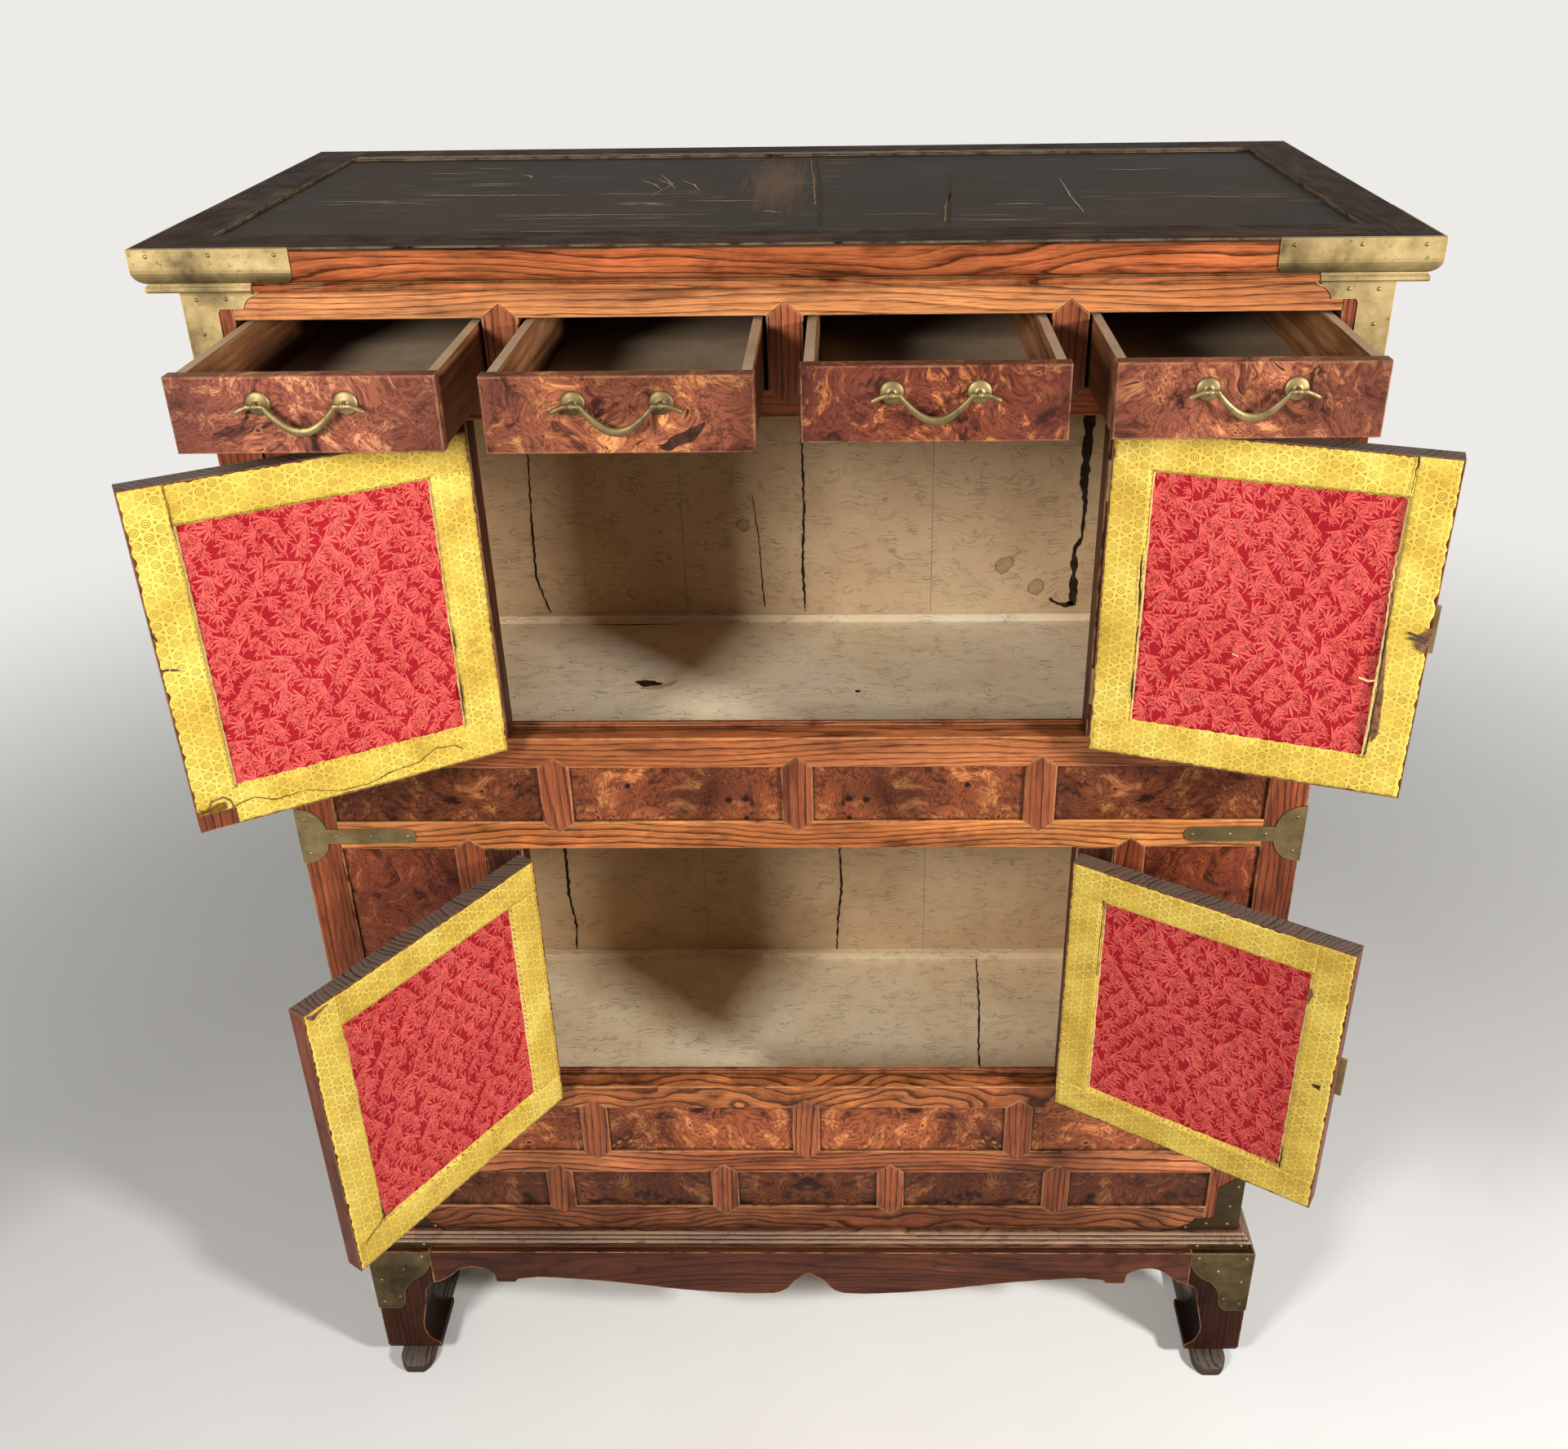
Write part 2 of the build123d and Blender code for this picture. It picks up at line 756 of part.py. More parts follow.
def lock_plate(middle, tongued):
    """Half-round plate at the free edge of a closed left-hand door, with a staple."""
    y = (front - lock_plate_thickness, front)
    setback = lock_clearance + (0 if tongued else lock_tongue)
    edge = door_high - setback
    radius = lock_plate_radius - setback
    shape = make_face([
        Line((edge, middle - radius), (edge, middle + radius)),
        ThreePointArc((edge, middle + radius), (edge - radius, middle), (edge, middle - radius))])
    plate = from_front(shape, y)
    if tongued:
        half = lock_tongue_height / 2
        tongue_y = (front - 2 * lock_plate_thickness - lock_clearance, front - lock_clearance)
        strip = (edge - lock_tongue, door_high + lock_tongue)
        plate = plate + block(strip, tongue_y, (middle - half, middle + half))
    x = edge - lock_plate_radius * 0.4
    stem = mirror(lug(staple_radius, staple_reach), about=Plane.XZ)
    staple = from_above(Pos(x, front, 0) * stem, (middle - staple_radius, middle + staple_radius))
    eye = Pos(x, front - staple_reach, middle) * Box(staple_radius, staple_radius, 4 * staple_radius)
    return plate + (staple - eye)


def hinge_places(level):
    """Heights of the two hinges of a door."""
    return (level[0] + hinge_end_distance, level[1] - hinge_end_distance)


def door_parts(level, right, angle):
    """Frame, panel and fittings of one door, turned open to where it rests."""
    frame, panel = door_woodwork(level)
    fittings = [hinge(z)[1] for z in hinge_places(level)]
    fittings.append(lock_plate((level[0] + level[1]) / 2, right))
    pivot = Axis((axis_x, axis_y, 0), (0, 0, 1))

    def placed(pieces):
        turned = [piece.rotate(pivot, -angle) for piece in pieces]
        return [flipped(piece) for piece in turned] if right else turned

    return placed(frame), placed([panel]), placed(fittings)


def hinge_frame_leaves():
    """Fixed leaves and pins of all eight hinges."""
    leaves = []
    for level in door_levels:
        for z in hinge_places(level):
            leaves += pair(hinge(z)[0])
    return leaves


# Brass corner plates

def wrapped(shape_of, edge_x, edge_y):
    """Thin plate bent round the right front corner, the same outline on both faces."""
    t = brass_thickness
    fore = from_front(shape_of(edge_x, -1), (edge_y - t, edge_y))
    side = from_side(shape_of(edge_y, 1), (edge_x, edge_x + t))
    return fore + side


def corner_outline(foot, up):
    """Angle plate with scrolled ends; up tells which way its stem runs from the foot level."""
    arm, width = corner_arm, corner_arm_width
    stem, side = corner_stem, corner_stem_width
    t = brass_thickness

    def shape_of(edge, inward):
        def at(u, v):
            return (edge + inward * u, foot + up * v)

        tip = [at(arm, 0), at(arm - width * 0.2, width * 0.22), at(arm - width * 0.53, width * 0.38),
               at(arm - width * 0.9, width * 0.62), at(arm - width * 1.07, width)]
        end = [at(side, stem - side * 0.48), at(side * 0.84, stem - side * 0.37),
               at(side * 0.66, stem - side * 0.27), at(side * 0.44, stem - side * 0.06), at(0, stem)]
        nook = [at(side * 1.08, width), at(side, width * 1.2)]
        return polygon(at(-t, 0), *filed(tip), *nook, *filed(end), at(-t, stem))
    return shape_of


def strap_outline(middle):
    """Half disc on the post with a round-ended strap along the rail."""
    half = strap_disc_height / 2
    strap = strap_width / 2
    t = brass_thickness

    def shape_of(edge, inward):
        def at(u, v):
            return (edge + inward * u, middle + v)

        disc = strap_disc_width
        neck = disc * 0.93
        low = [at(0, -half), at(disc * 0.6, -half * 0.82), at(neck, -strap)]
        high = [at(neck, strap), at(disc * 0.6, half * 0.82), at(0, half)]
        reach = strap_reach - strap
        nose = strap * 0.7
        end = [at(reach, -strap), at(reach + strap * 0.38, -strap * 0.92), at(reach + nose, -nose),
               at(strap_reach, 0), at(reach + nose, nose), at(reach + strap * 0.38, strap * 0.92),
               at(reach, strap)]
        return polygon(at(-t, half), at(-t, -half), *filed(low), *end, *filed(high))
    return shape_of


def leg_plate_outline(edge, inward):
    """Plate on the head of a leg with a scrolled inner edge."""
    top, drop = leg_plate_top, leg_plate_drop
    t = brass_thickness

    def at(u, v):
        return (edge + inward * u, z_leg_top - v)

    scroll = [at(top, 0), at(top * 0.9, drop * 0.32), at(top * 0.64, drop * 0.49),
              at(top * 0.53, drop * 0.6), at(top * 0.47, drop * 0.71)]
    foot = [at(top * 0.455, drop * 0.82), at(top * 0.42, drop * 0.93), at(top * 0.34, drop)]
    return polygon(at(-t, 0), *filed(scroll), *filed(foot), at(-t, drop))


def fascia_outline(edge, inward):
    """Short plain plate on the fascia of the base moulding."""
    t = brass_thickness
    arm = edge + inward * fascia_plate_arm
    out = edge - inward * t
    high = z_leg_top + fascia_height
    return polygon((out, z_leg_top), (arm, z_leg_top), (arm, high), (out, high))


def cornice_plate():
    """Shell over the right front corner of the cornice."""
    t = brass_thickness
    deep = cornice_plate_arm + 2 * t
    profile = cornice_profile(deep)
    x_over, y_over = cornice_side_overhang, cornice_front_overhang
    corner_x = half_width + x_over
    corner_y = front - y_over
    x = (corner_x - deep, corner_x + 2 * t)
    y = (corner_y - 2 * t, corner_y + deep)
    outer = front_run(profile, y_over + t, x) & side_run(profile, x_over + t, y)
    solid_corner = front_run(profile, y_over, x) & side_run(profile, x_over, y)
    low = z_carcass_top
    step = low + cornice_lip_height + cornice_quirk
    bend = cornice_plate_round
    margin = 4 * t

    def keep(edge, inward):
        def at(u, z):
            return (edge + inward * u, z)

        arm, lip = cornice_plate_arm, cornice_lip_arm
        return polygon(
            at(-margin, low), at(lip, low), at(lip, step), at(arm - bend, step),
            at(arm - bend * 0.4, step + bend * 0.15), at(arm - bend * 0.1, step + bend * 0.5),
            at(arm, step + bend), at(arm, z_top), at(-margin, z_top))

    shell = outer - solid_corner
    shell = shell & from_front(keep(corner_x, -1), y)
    return shell & from_side(keep(corner_y, 1), x)


def frame_plates():
    """Angle plates and straps on the front posts, left and right."""
    strap_middle = (z_lower_head + z_middle_row) / 2
    shapes = (
        corner_outline(z_carcass_top - corner_gap, -1), strap_outline(strap_middle),
        corner_outline(z_carcass + corner_gap, 1))
    plates = []
    for shape_of in shapes:
        plates += pair(wrapped(shape_of, half_width, front))
    return plates


def leg_plates():
    """Plates on the front legs and on the corners of the base moulding."""
    out = base_overhang - fascia_setback
    plates = pair(wrapped(leg_plate_outline, stand_x, stand_front))
    return plates + pair(wrapped(fascia_outline, half_width + out, front - out))


# The pieces by name

os.makedirs("parts", exist_ok=True)


def save(name, pieces):
    """Write one named piece, or one group of like pieces, as a STEP file."""
    solids = [solid for piece in pieces for solid in piece.solids()]
    export_step(Compound(solids), "parts/" + name + ".step")


save("top_panel", [top_panel()])
save("cornice", cornice())
save("corner_posts", corner_posts())
save("top_rail", [front_rail(z_drawer_top, z_carcass_top)])
save("drawer_rail", [front_rail(z_upper_head, z_deck)])
save("upper_sill_rail", [front_rail(z_middle_top, z_upper_sill)])
save("lower_head_rail", [front_rail(z_lower_head, z_middle_row)])
save("lower_sill_rail", [front_rail(z_upper_row, z_lower_sill)])
save("row_rail", [front_rail(z_lower_row, z_row_rail)])
save("bottom_rail", [front_rail(z_carcass, z_bottom_rail)])
save("front_muntins", front_muntins(front_muntin_spots))
save("flank_muntins", front_muntins(flank_muntin_spots))
save("burl_panels", [front_panel(x, z) for x, z in row_spots])
save("flank_panels", [front_panel(x, z) for x, z in flank_spots])
save("door_posts", door_posts())
save("side_rails", side_rails())
save("side_panels", [twin for low, high in side_bays for twin in pair(side_panel(low, high))])
save("back_boards", back_boards())
save("compartment_floors", [shelf(z, floor_thickness) for z in (z_bottom_rail, z_middle_row)])
save("back_ledges", back_ledges())
save("drawer_deck", [shelf(z_deck, deck_thickness)])
save("drawer_guides", drawer_guides())
save("door_stops", door_stops())
save("base_moulding", base_moulding())
save("front_apron", [front_apron()])
save("side_aprons", side_aprons() + [rear_apron()])
save("legs", legs())
save("runners", runners())
save("cornice_plates", pair(cornice_plate()))
save("frame_plates", frame_plates())
save("leg_plates", leg_plates())
save("hinge_frame_leaves", hinge_frame_leaves())

for number in range(drawer_count):
    slab, box, posts, handle = drawer_parts(number)
    drawer = "drawer_" + str(number + 1)
    save(drawer + "_front", [slab])
    save(drawer + "_box", box)
    save(drawer + "_pull_posts", posts)
    save(drawer + "_bail", [handle])

doors = (
    ("upper_left", door_levels[1], False, upper_left_door_angle),
    ("upper_right", door_levels[1], True, upper_right_door_angle),
    ("lower_left", door_levels[0], False, lower_left_door_angle),
    ("lower_right", door_levels[0], True, lower_right_door_angle))
for name, level, right, angle in doors:
    frame, panel, fittings = door_parts(level, right, angle)
    save(name + "_door_frame", frame)
    save(name + "_door_panel", panel)
    save(name + "_door_fittings", fittings)
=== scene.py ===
import math

import bmesh
import bpy
import numpy as np
from mathutils import Matrix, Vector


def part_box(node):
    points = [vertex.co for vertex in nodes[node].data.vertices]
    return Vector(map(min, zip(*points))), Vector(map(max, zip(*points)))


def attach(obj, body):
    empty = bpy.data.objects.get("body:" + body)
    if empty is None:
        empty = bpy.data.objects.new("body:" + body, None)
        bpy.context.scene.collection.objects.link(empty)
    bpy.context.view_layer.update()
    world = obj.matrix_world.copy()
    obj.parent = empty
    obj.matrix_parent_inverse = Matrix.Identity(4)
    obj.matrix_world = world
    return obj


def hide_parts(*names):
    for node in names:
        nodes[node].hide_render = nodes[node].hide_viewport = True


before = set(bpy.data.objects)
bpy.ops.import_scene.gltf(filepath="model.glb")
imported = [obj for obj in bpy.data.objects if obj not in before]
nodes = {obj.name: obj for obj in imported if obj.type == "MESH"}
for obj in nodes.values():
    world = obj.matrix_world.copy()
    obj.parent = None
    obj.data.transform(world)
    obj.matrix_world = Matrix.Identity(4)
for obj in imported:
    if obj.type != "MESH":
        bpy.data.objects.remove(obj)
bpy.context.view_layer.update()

# Sizes in metres, the same as in the part's source
FRONT = -0.210
HINGE_X, HINGE_Y = 0.252, -0.2126
DOOR_EDGE, DOOR_INNER = -0.249, -0.193
DOOR_WIDTH, DOOR_HEIGHT, DOOR_BORDER, DOOR_STEP = 0.2484, 0.285, 0.0315, 0.003
UPPER_FOOT, LOWER_FOOT = 0.794, 0.3905
UPPER_FLOOR, LOWER_FLOOR = 0.706, 0.222
BACK_FACE = 0.198
TOP_FACE, FILLET_RISE = 1.2155, 0.0025
RUNNER_X, RUNNER_HALF, RUNNER_HEIGHT = 0.436, 0.018, 0.015
HINGE_HEIGHTS, LEAF = (0.441, 0.625, 0.8445, 1.0285), 0.0012
PULL_Z, PULL_SPACING, PULL_REACH = 1.1396, 0.0595, 0.008
DRAWER_MIDDLES = (-0.321, -0.107, 0.107, 0.321)
DRAWER_OUT = (0.138, 0.143, 0.125, 0.123)
DOORS = {
    "upper_left": (False, 150.4, UPPER_FOOT),
    "upper_right": (True, 161.7, UPPER_FOOT),
    "lower_left": (False, 124.2, LOWER_FOOT),
    "lower_right": (True, 148.4, LOWER_FOOT),
}

# Thickness of the papers, and how far papers, prints and marks stand clear of what they lie on
PAPER = 0.0002
UNDER_STRIP, OVER_STRIP = 0.00026, 0.00046
RED_LIFT, PRINT_LIFT, RIM_LIFT = 0.00030, 0.00052, 0.0006
CLEAR, WALL_CLEAR = 0.0003, 0.0004


# Nodes and colours

def linear(code):
    """Linear RGBA of an sRGB hex colour."""
    channels = [int(code[i:i + 2], 16) / 255 for i in (1, 3, 5)]
    return tuple(c / 12.92 if c <= 0.04045 else ((c + 0.055) / 1.055) ** 2.4 for c in channels) + (1.0,)


def adder(tree):
    """Gives the function that adds one node to the tree. A kind is the node's name, with its operation or
    data type after a blank. Values go to its live sockets in order, sockets as links and hex colours as
    linear ones; links are values by the socket's name, and stops are a ramp's. It gives the first live
    output, the one asked for, or all."""
    def add(kind, *values, links=None, stops=(), out=None, **settings):
        kind, _, mode = kind.partition(" ")
        node = tree.nodes.new("ShaderNode" + kind)
        if mode:
            setattr(node, "data_type" if kind == "Mix" else "operation", mode)
        for name, value in settings.items():
            setattr(node, name, value)
        live = [socket for socket in node.inputs if socket.enabled]
        named = [(node.inputs[name], value) for name, value in (links or {}).items()]
        for socket, value in [*zip(live, values), *named]:
            if isinstance(value, bpy.types.NodeSocket):
                tree.links.new(value, socket)
            else:
                socket.default_value = linear(value) if isinstance(value, str) else value
        if stops:
            elements = node.color_ramp.elements
            elements[0].position, elements[1].position = stops[0][0], stops[-1][0]
            for place, _ in stops[1:-1]:
                elements.new(place)
            for element, (_, tone) in zip(elements, stops):
                element.color = linear(tone) if isinstance(tone, str) else (tone, tone, tone, 1.0)
        if out == "all":
            return node.outputs
        return next((s for s in node.outputs if s.enabled), None) if out is None else node.outputs[out]
    return add


def per(size):
    """Texture scale at which a pattern comes about once in the given millimetres."""
    return 1000.0 / size


def new_material(name, printed=False):
    """A material with an empty tree but for its shader. Gives it, the function that adds its nodes, and the
    place on the object, or on the flat sheet where it is printed."""
    made = bpy.data.materials.new(name)
    made.use_nodes = True
    add = adder(made.node_tree)
    return made, add, add("UVMap") if printed else add("TexCoord", out="Object")


def connect(made, add, colour, roughness, height=None, depth=0.0002, strength=1.0, sheen=0.5, metal=0.0):
    """Links colour, roughness and a relief of the given depth in metres to the shader, sets how much it
    mirrors and whether it is metal, and gives the material."""
    shader, links = made.node_tree.nodes["Principled BSDF"], made.node_tree.links
    links.new(colour, shader.inputs["Base Color"])
    links.new(roughness, shader.inputs["Roughness"])
    if height is not None:
        bump = add("Bump", links={"Height": height, "Distance": depth, "Strength": strength})
        links.new(bump, shader.inputs["Normal"])
    shader.inputs["Specular IOR Level"].default_value = sheen
    shader.inputs["Metallic"].default_value = metal
    return made


def patches(add, place, size, detail, rough, low, high, least=0.0, most=1.0):
    """Soft patches about the given millimetres wide: noise of this detail and roughness, raised from least
    to most as it goes from low to high."""
    return add("MapRange", add("TexNoise", place, per(size), detail, rough), low, high, least, most)


def edge_mask(add, radius):
    """One where the surface bends within the radius, as along rubbed and highlighted edges, and nought on
    flats.
    """
    soft = add("Bevel", radius, samples=4)
    dot = add("VectorMath DOT_PRODUCT", soft, add("NewGeometry", out="Normal"))
    return add("MapRange", dot, 0.995, 0.9, 0, 1)


def corner_shade_and_dirt(add, colour, reach, tone, amount):
    """Colour with painted shade in the inner corners, darker the more neighbouring faces lie within the
    given reach; the same dark also stands for old wax and dirt there.
    """
    # Painted shade: dark where ambient occlusion finds faces close by, also standing for old wax and dirt.
    open_sky = add("AmbientOcclusion", links={"Distance": reach}, samples=6, out="AO")
    darkening = add("MapRange", open_sky, 0.88, 0.42, 0, amount)
    return add("Mix RGBA", darkening, colour, tone)


def looking_rays(add):
    """One for rays that show the surround: from the camera, mirrored, or passed through."""
    rays = add("LightPath", out="all")
    seen = add("Math MAXIMUM", rays["Is Camera Ray"], rays["Is Glossy Ray"])
    return add("Math MAXIMUM", seen, rays["Is Transmission Ray"])


# Woods

def zelkova(name, along, heart, tones=("#B5663C", "#924A28", "#240D06"), ring=0.0050, swing=0.016,
            draw=0.16, seed=0.0, turn=0.0, rim=0.0, worn="#CF9A62", wear=0.36, top=None, ends=None,
            inner=None, bold=1.3, sheen=0.14):
    """Oiled zelkova, sawn and hand planed: growth rings as dark pore lines round a heart line, short pores,
    redder and lighter flames, and paler edges, rubbed and with a painted highlight. The ring count is the
    distance from the heart line, bent by slow noise, over the ring width; draw is how far the figure is
    drawn out along the grain. Where rim is set, the grain runs along y beyond that |x|. Top is a stain on
    what lies highest, ends the tone of weathered upper edges, inner the tone of painted shade on faces
    turned to the middle, worn the tone of the pale edges, bold the weight of the pore lines, wear the share
    of an edge that is left unrubbed and without highlight, and sheen the gloss. Inner corners take painted
    shade, which also stands for old wax and dirt. Real rings are 2 to 4 mm wide; they are drawn wider, so
    that they show."""
    light, red, dark = tones
    made, add, place = new_material("zelkova_" + name)
    if turn:
        place = add("Mapping", place, links={"Rotation": (0, 0, turn)})
    xyz = add("SeparateXYZ", place, out="all")
    order = {"x": (1, 2, 0), "y": (0, 2, 1), "z": (0, 1, 2)}[along]
    turned = add("CombineXYZ", *(xyz[k] for k in order))
    if rim:
        side = add("Math GREATER_THAN", add("Math ABSOLUTE", xyz[0]), rim)
        across = add("CombineXYZ", xyz[0], xyz[2], xyz[1])
        turned = add("Mix VECTOR", side, turned, across)
    local = add("VectorMath ADD", turned, (-heart[0], -heart[1], seed))
    slow = add("VectorMath MULTIPLY", local, (1, 1, draw))
    bend = add("TexNoise", slow, per(77), 2, 0.45, out="Color")
    bent = add("VectorMath MULTIPLY_ADD", bend, (3 * swing, 3 * swing, 0), slow)
    radius = add("VectorMath LENGTH", add("VectorMath MULTIPLY", bent, (1, 1, 0)))
    ripple = add("TexNoise", slow, per(6.7), 3, 0.55)
    radius = add("Math MULTIPLY_ADD", ripple, 0.0032, radius)
    count = add("Math MULTIPLY", radius, 1 / ring)
    cycle = add("Math FRACT", count)
    tone = add("TexWhiteNoise", add("Math FLOOR", count), noise_dimensions="1D")
    line = add("ValToRGB", cycle, stops=[(0, 0.7), (0.06, 1), (0.18, 0.5), (0.42, 0.12), (0.9, 0),
                                         (1, 0.7)])
    fine = add("MapRange", add("Math FRACT", add("Math MULTIPLY", count, 3)), 0, 0.45, 0.34, 0)
    line = add("Math MAXIMUM", line, fine)
    tone = add("MapRange", tone, 0.15, 1, 0.35, 1)
    line = add("Math MULTIPLY", add("Math MULTIPLY", line, tone), bold, use_clamp=True)
    thin = add("VectorMath MULTIPLY", local, (1, 1, 0.035))
    pores = patches(add, thin, 0.77, 1, 0.5, 0.5, 0.68)
    depth = add("Math MULTIPLY_ADD", pores, 0.48, line, use_clamp=True)
    zone = patches(add, slow, 111, 4, 0.6, 0.38, 0.62)
    colour = add("Mix RGBA", zone, light, red)
    flame = add("TexNoise", bent, per(26), 4, 0.6)
    shine = add("MapRange", flame, 0.54, 0.7)
    colour = add("VectorMath SCALE", colour, add("Math MULTIPLY_ADD", shine, 0.66, 1))
    gloom = add("MapRange", flame, 0.47, 0.32, 0, 0.66)
    figure = add("Math MULTIPLY", depth, 0.86)
    darkening = patches(add, place, 42, 6, 0.65, 0.56, 0.74, 0, 0.5)
    # Pale edges: rubbed wear together with a painted highlight, in the tone worn.
    rub_and_highlight = patches(add, place, 16.7, 4, 0.65, wear, wear + 0.2, 0, 0.85)
    rub_and_highlight = add("Math MULTIPLY", rub_and_highlight, edge_mask(add, 0.0017))
    for mask, tone in ((gloom, dark), (figure, dark), (darkening, dark), (rub_and_highlight, worn)):
        colour = add("Mix RGBA", mask, colour, tone)
    # Painted shade in the inner corners, which also stands for old wax and dirt.
    colour = corner_shade_and_dirt(add, colour, 0.007, "#160804", 0.85)
    if top:
        high = add("MapRange", xyz[2], 1.214, 1.2154)
        stain = add("Mix RGBA", depth, add("Mix RGBA", shine, top, "#6A5038"), "#120B07")
        stain = add("Mix RGBA", rub_and_highlight, stain, "#9A836A")
        colour = add("Mix RGBA", high, colour, stain)
    # Painted shade on the faces turned towards the middle.
    if inner:
        away = add("Math MULTIPLY", add("SeparateXYZ", add("TexCoord", out="Normal"), out=0), xyz[0])
        away = add("MapRange", away, -0.05, -0.2, 0, 0.88)
        colour = add("Mix RGBA", away, colour, inner)
    if ends:
        up = add("MapRange", add("SeparateXYZ", add("TexCoord", out="Normal"), out=2), 0.5, 0.8, 0, 0.85)
        weather = add("Mix RGBA", depth, ends, "#1E1612")
        colour = add("Mix RGBA", up, colour, weather)
    gloss = patches(add, place, 25, 4, 0.5, 0.3, 0.7, 0.4, 0.58)
    return connect(made, add, colour, gloss, depth, 0.00016, -0.6, sheen=sheen)


def burl(name, tones=("#BE7444", "#864628", "#260C05", "#D0955A"), seed=0.0, size=1.0, mirrored=False,
         knots=(), ends=None, rows=()):
    """Zelkova burl, sliced across the swirling root wood and waxed: noise warped twice by noise gives the
    flames, its contour lines the swirls, which close round the knots, and small round eyes with dark hearts
    sit in clusters. Mirrored leaves are opened like a book about the middle of the front; knots are the
    places (x, z) of larger ringed eyes. Ends (middle, half width) darkens a front towards its ends, and
    rows (z, half height, gain, start) paints light and shade on one row, making its leaves lighter or
    darker beyond the start, counted from the middle. Edges are paler, rubbed and with a painted highlight,
    and inner corners take painted shade, which also stands for old wax and dirt. The real swirls are about
    1 mm apart; they are drawn 5 mm apart, so that they show."""
    light, mid, dark, pale = tones
    made, add, place = new_material(name)
    spot = place
    if mirrored:
        spot = add("VectorMath ABSOLUTE", place)
    local = add("VectorMath ADD", spot, (seed, seed * 0.7, seed * 1.3))
    first = add("TexNoise", local, per(111 * size), 2, out="Color")
    bent = add("VectorMath MULTIPLY_ADD", first, (0.11, 0.11, 0.11), local)
    second = add("TexNoise", bent, per(26 * size), 2, out="Color")
    bent_twice = add("VectorMath MULTIPLY_ADD", second, (0.022, 0.022, 0.022), bent)
    figure = add("TexNoise", bent_twice, per(33 * size), 6, 0.66)
    colour = add("ValToRGB", figure, stops=[(0.35, dark), (0.46, mid), (0.54, mid), (0.61, light),
                                            (0.73, pale)])
    lines = add("Math MULTIPLY", add("TexNoise", bent, per(59 * size), 4), 24)
    near = None
    level = add("VectorMath MULTIPLY", spot, (1, 0, 1))
    for x, z in knots:
        way = add("VectorMath DISTANCE", level, (x, 0, z))
        near = way if near is None else add("Math MINIMUM", near, way)
    if knots:
        rings = add("MapRange", near, 0.026, 0, 0, 7, interpolation_type="SMOOTHSTEP")
        lines = add("Math ADD", lines, rings)
    lines = add("Math FRACT", lines)
    lines = add("ValToRGB", lines, stops=[(0, 1), (0.18, 0.5), (0.42, 0.03), (0.86, 0.05), (1, 1)])
    shade = add("Math MULTIPLY", lines, 0.64)
    zone = add("TexNoise", local, per(143 * size), 3)
    gloom = add("MapRange", zone, 0.5, 0.34, 0, 0.72)
    eyes = add("TexVoronoi", bent_twice, per(9 * size), out="Distance")
    cluster = patches(add, local, 67 * size, 2, 0.5, 0.54, 0.6)
    halo = add("Math MULTIPLY", add("MapRange", eyes, 0.52, 0.26, 0, 0.55), cluster)
    heart = add("Math MULTIPLY", add("MapRange", eyes, 0.26, 0.14, 0, 0.9), cluster)
    for mask, tone in ((shade, dark), (gloom, dark), (halo, light), (heart, "#210A05")):
        colour = add("Mix RGBA", mask, colour, tone)
    if knots:
        near = add("Math MULTIPLY_ADD", figure, 0.005, near)
        pith = add("MapRange", near, 0.0066, 0.0048)
        colour = add("Mix RGBA", pith, colour, "#1A0804")
    speck = patches(add, bent_twice, 4.5 * size, 2, 0.5, 0.52, 0.66, 0, 0.42)
    colour = add("Mix RGBA", speck, colour, dark)
    xyz = add("SeparateXYZ", place, out="all")
    # Painted light and shade: each listed row is made lighter or darker beyond its start.
    for height, half, gain, start in rows:
        band = add("Math COMPARE", xyz[2], height, half)
        beyond = add("Math GREATER_THAN", add("Math ABSOLUTE", xyz[0]), start)
        band = add("Math MULTIPLY_ADD", add("Math MULTIPLY", band, beyond), gain, 1)
        colour = add("VectorMath SCALE", colour, band)
    if ends:
        middle, half = ends
        away = add("Math ABSOLUTE", add("Math SUBTRACT", xyz[0], middle))
        away = add("Math MULTIPLY_ADD", zone, 0.07, away)
        away = add("MapRange", away, 0.75 * half, 1.3 * half, 0, 0.62)
        colour = add("Mix RGBA", away, colour, "#3C1C16")
    # Pale edges: rubbed wear together with a painted highlight.
    rub_and_highlight = patches(add, place, 14.3, 4, 0.65, 0.36, 0.58, 0, 0.8)
    rub_and_highlight = add("Math MULTIPLY", rub_and_highlight, edge_mask(add, 0.0012))
    colour = add("Mix RGBA", rub_and_highlight, colour, "#BE9169")
    # Painted shade in the inner corners, which also stands for old wax and dirt.
    colour = corner_shade_and_dirt(add, colour, 0.012, "#180905", 0.80)
    gloss = add("MapRange", zone, 0.3, 0.7, 0.34, 0.5)
    return connect(made, add, colour, gloss, lines, 0.00008, -0.5, sheen=0.16)


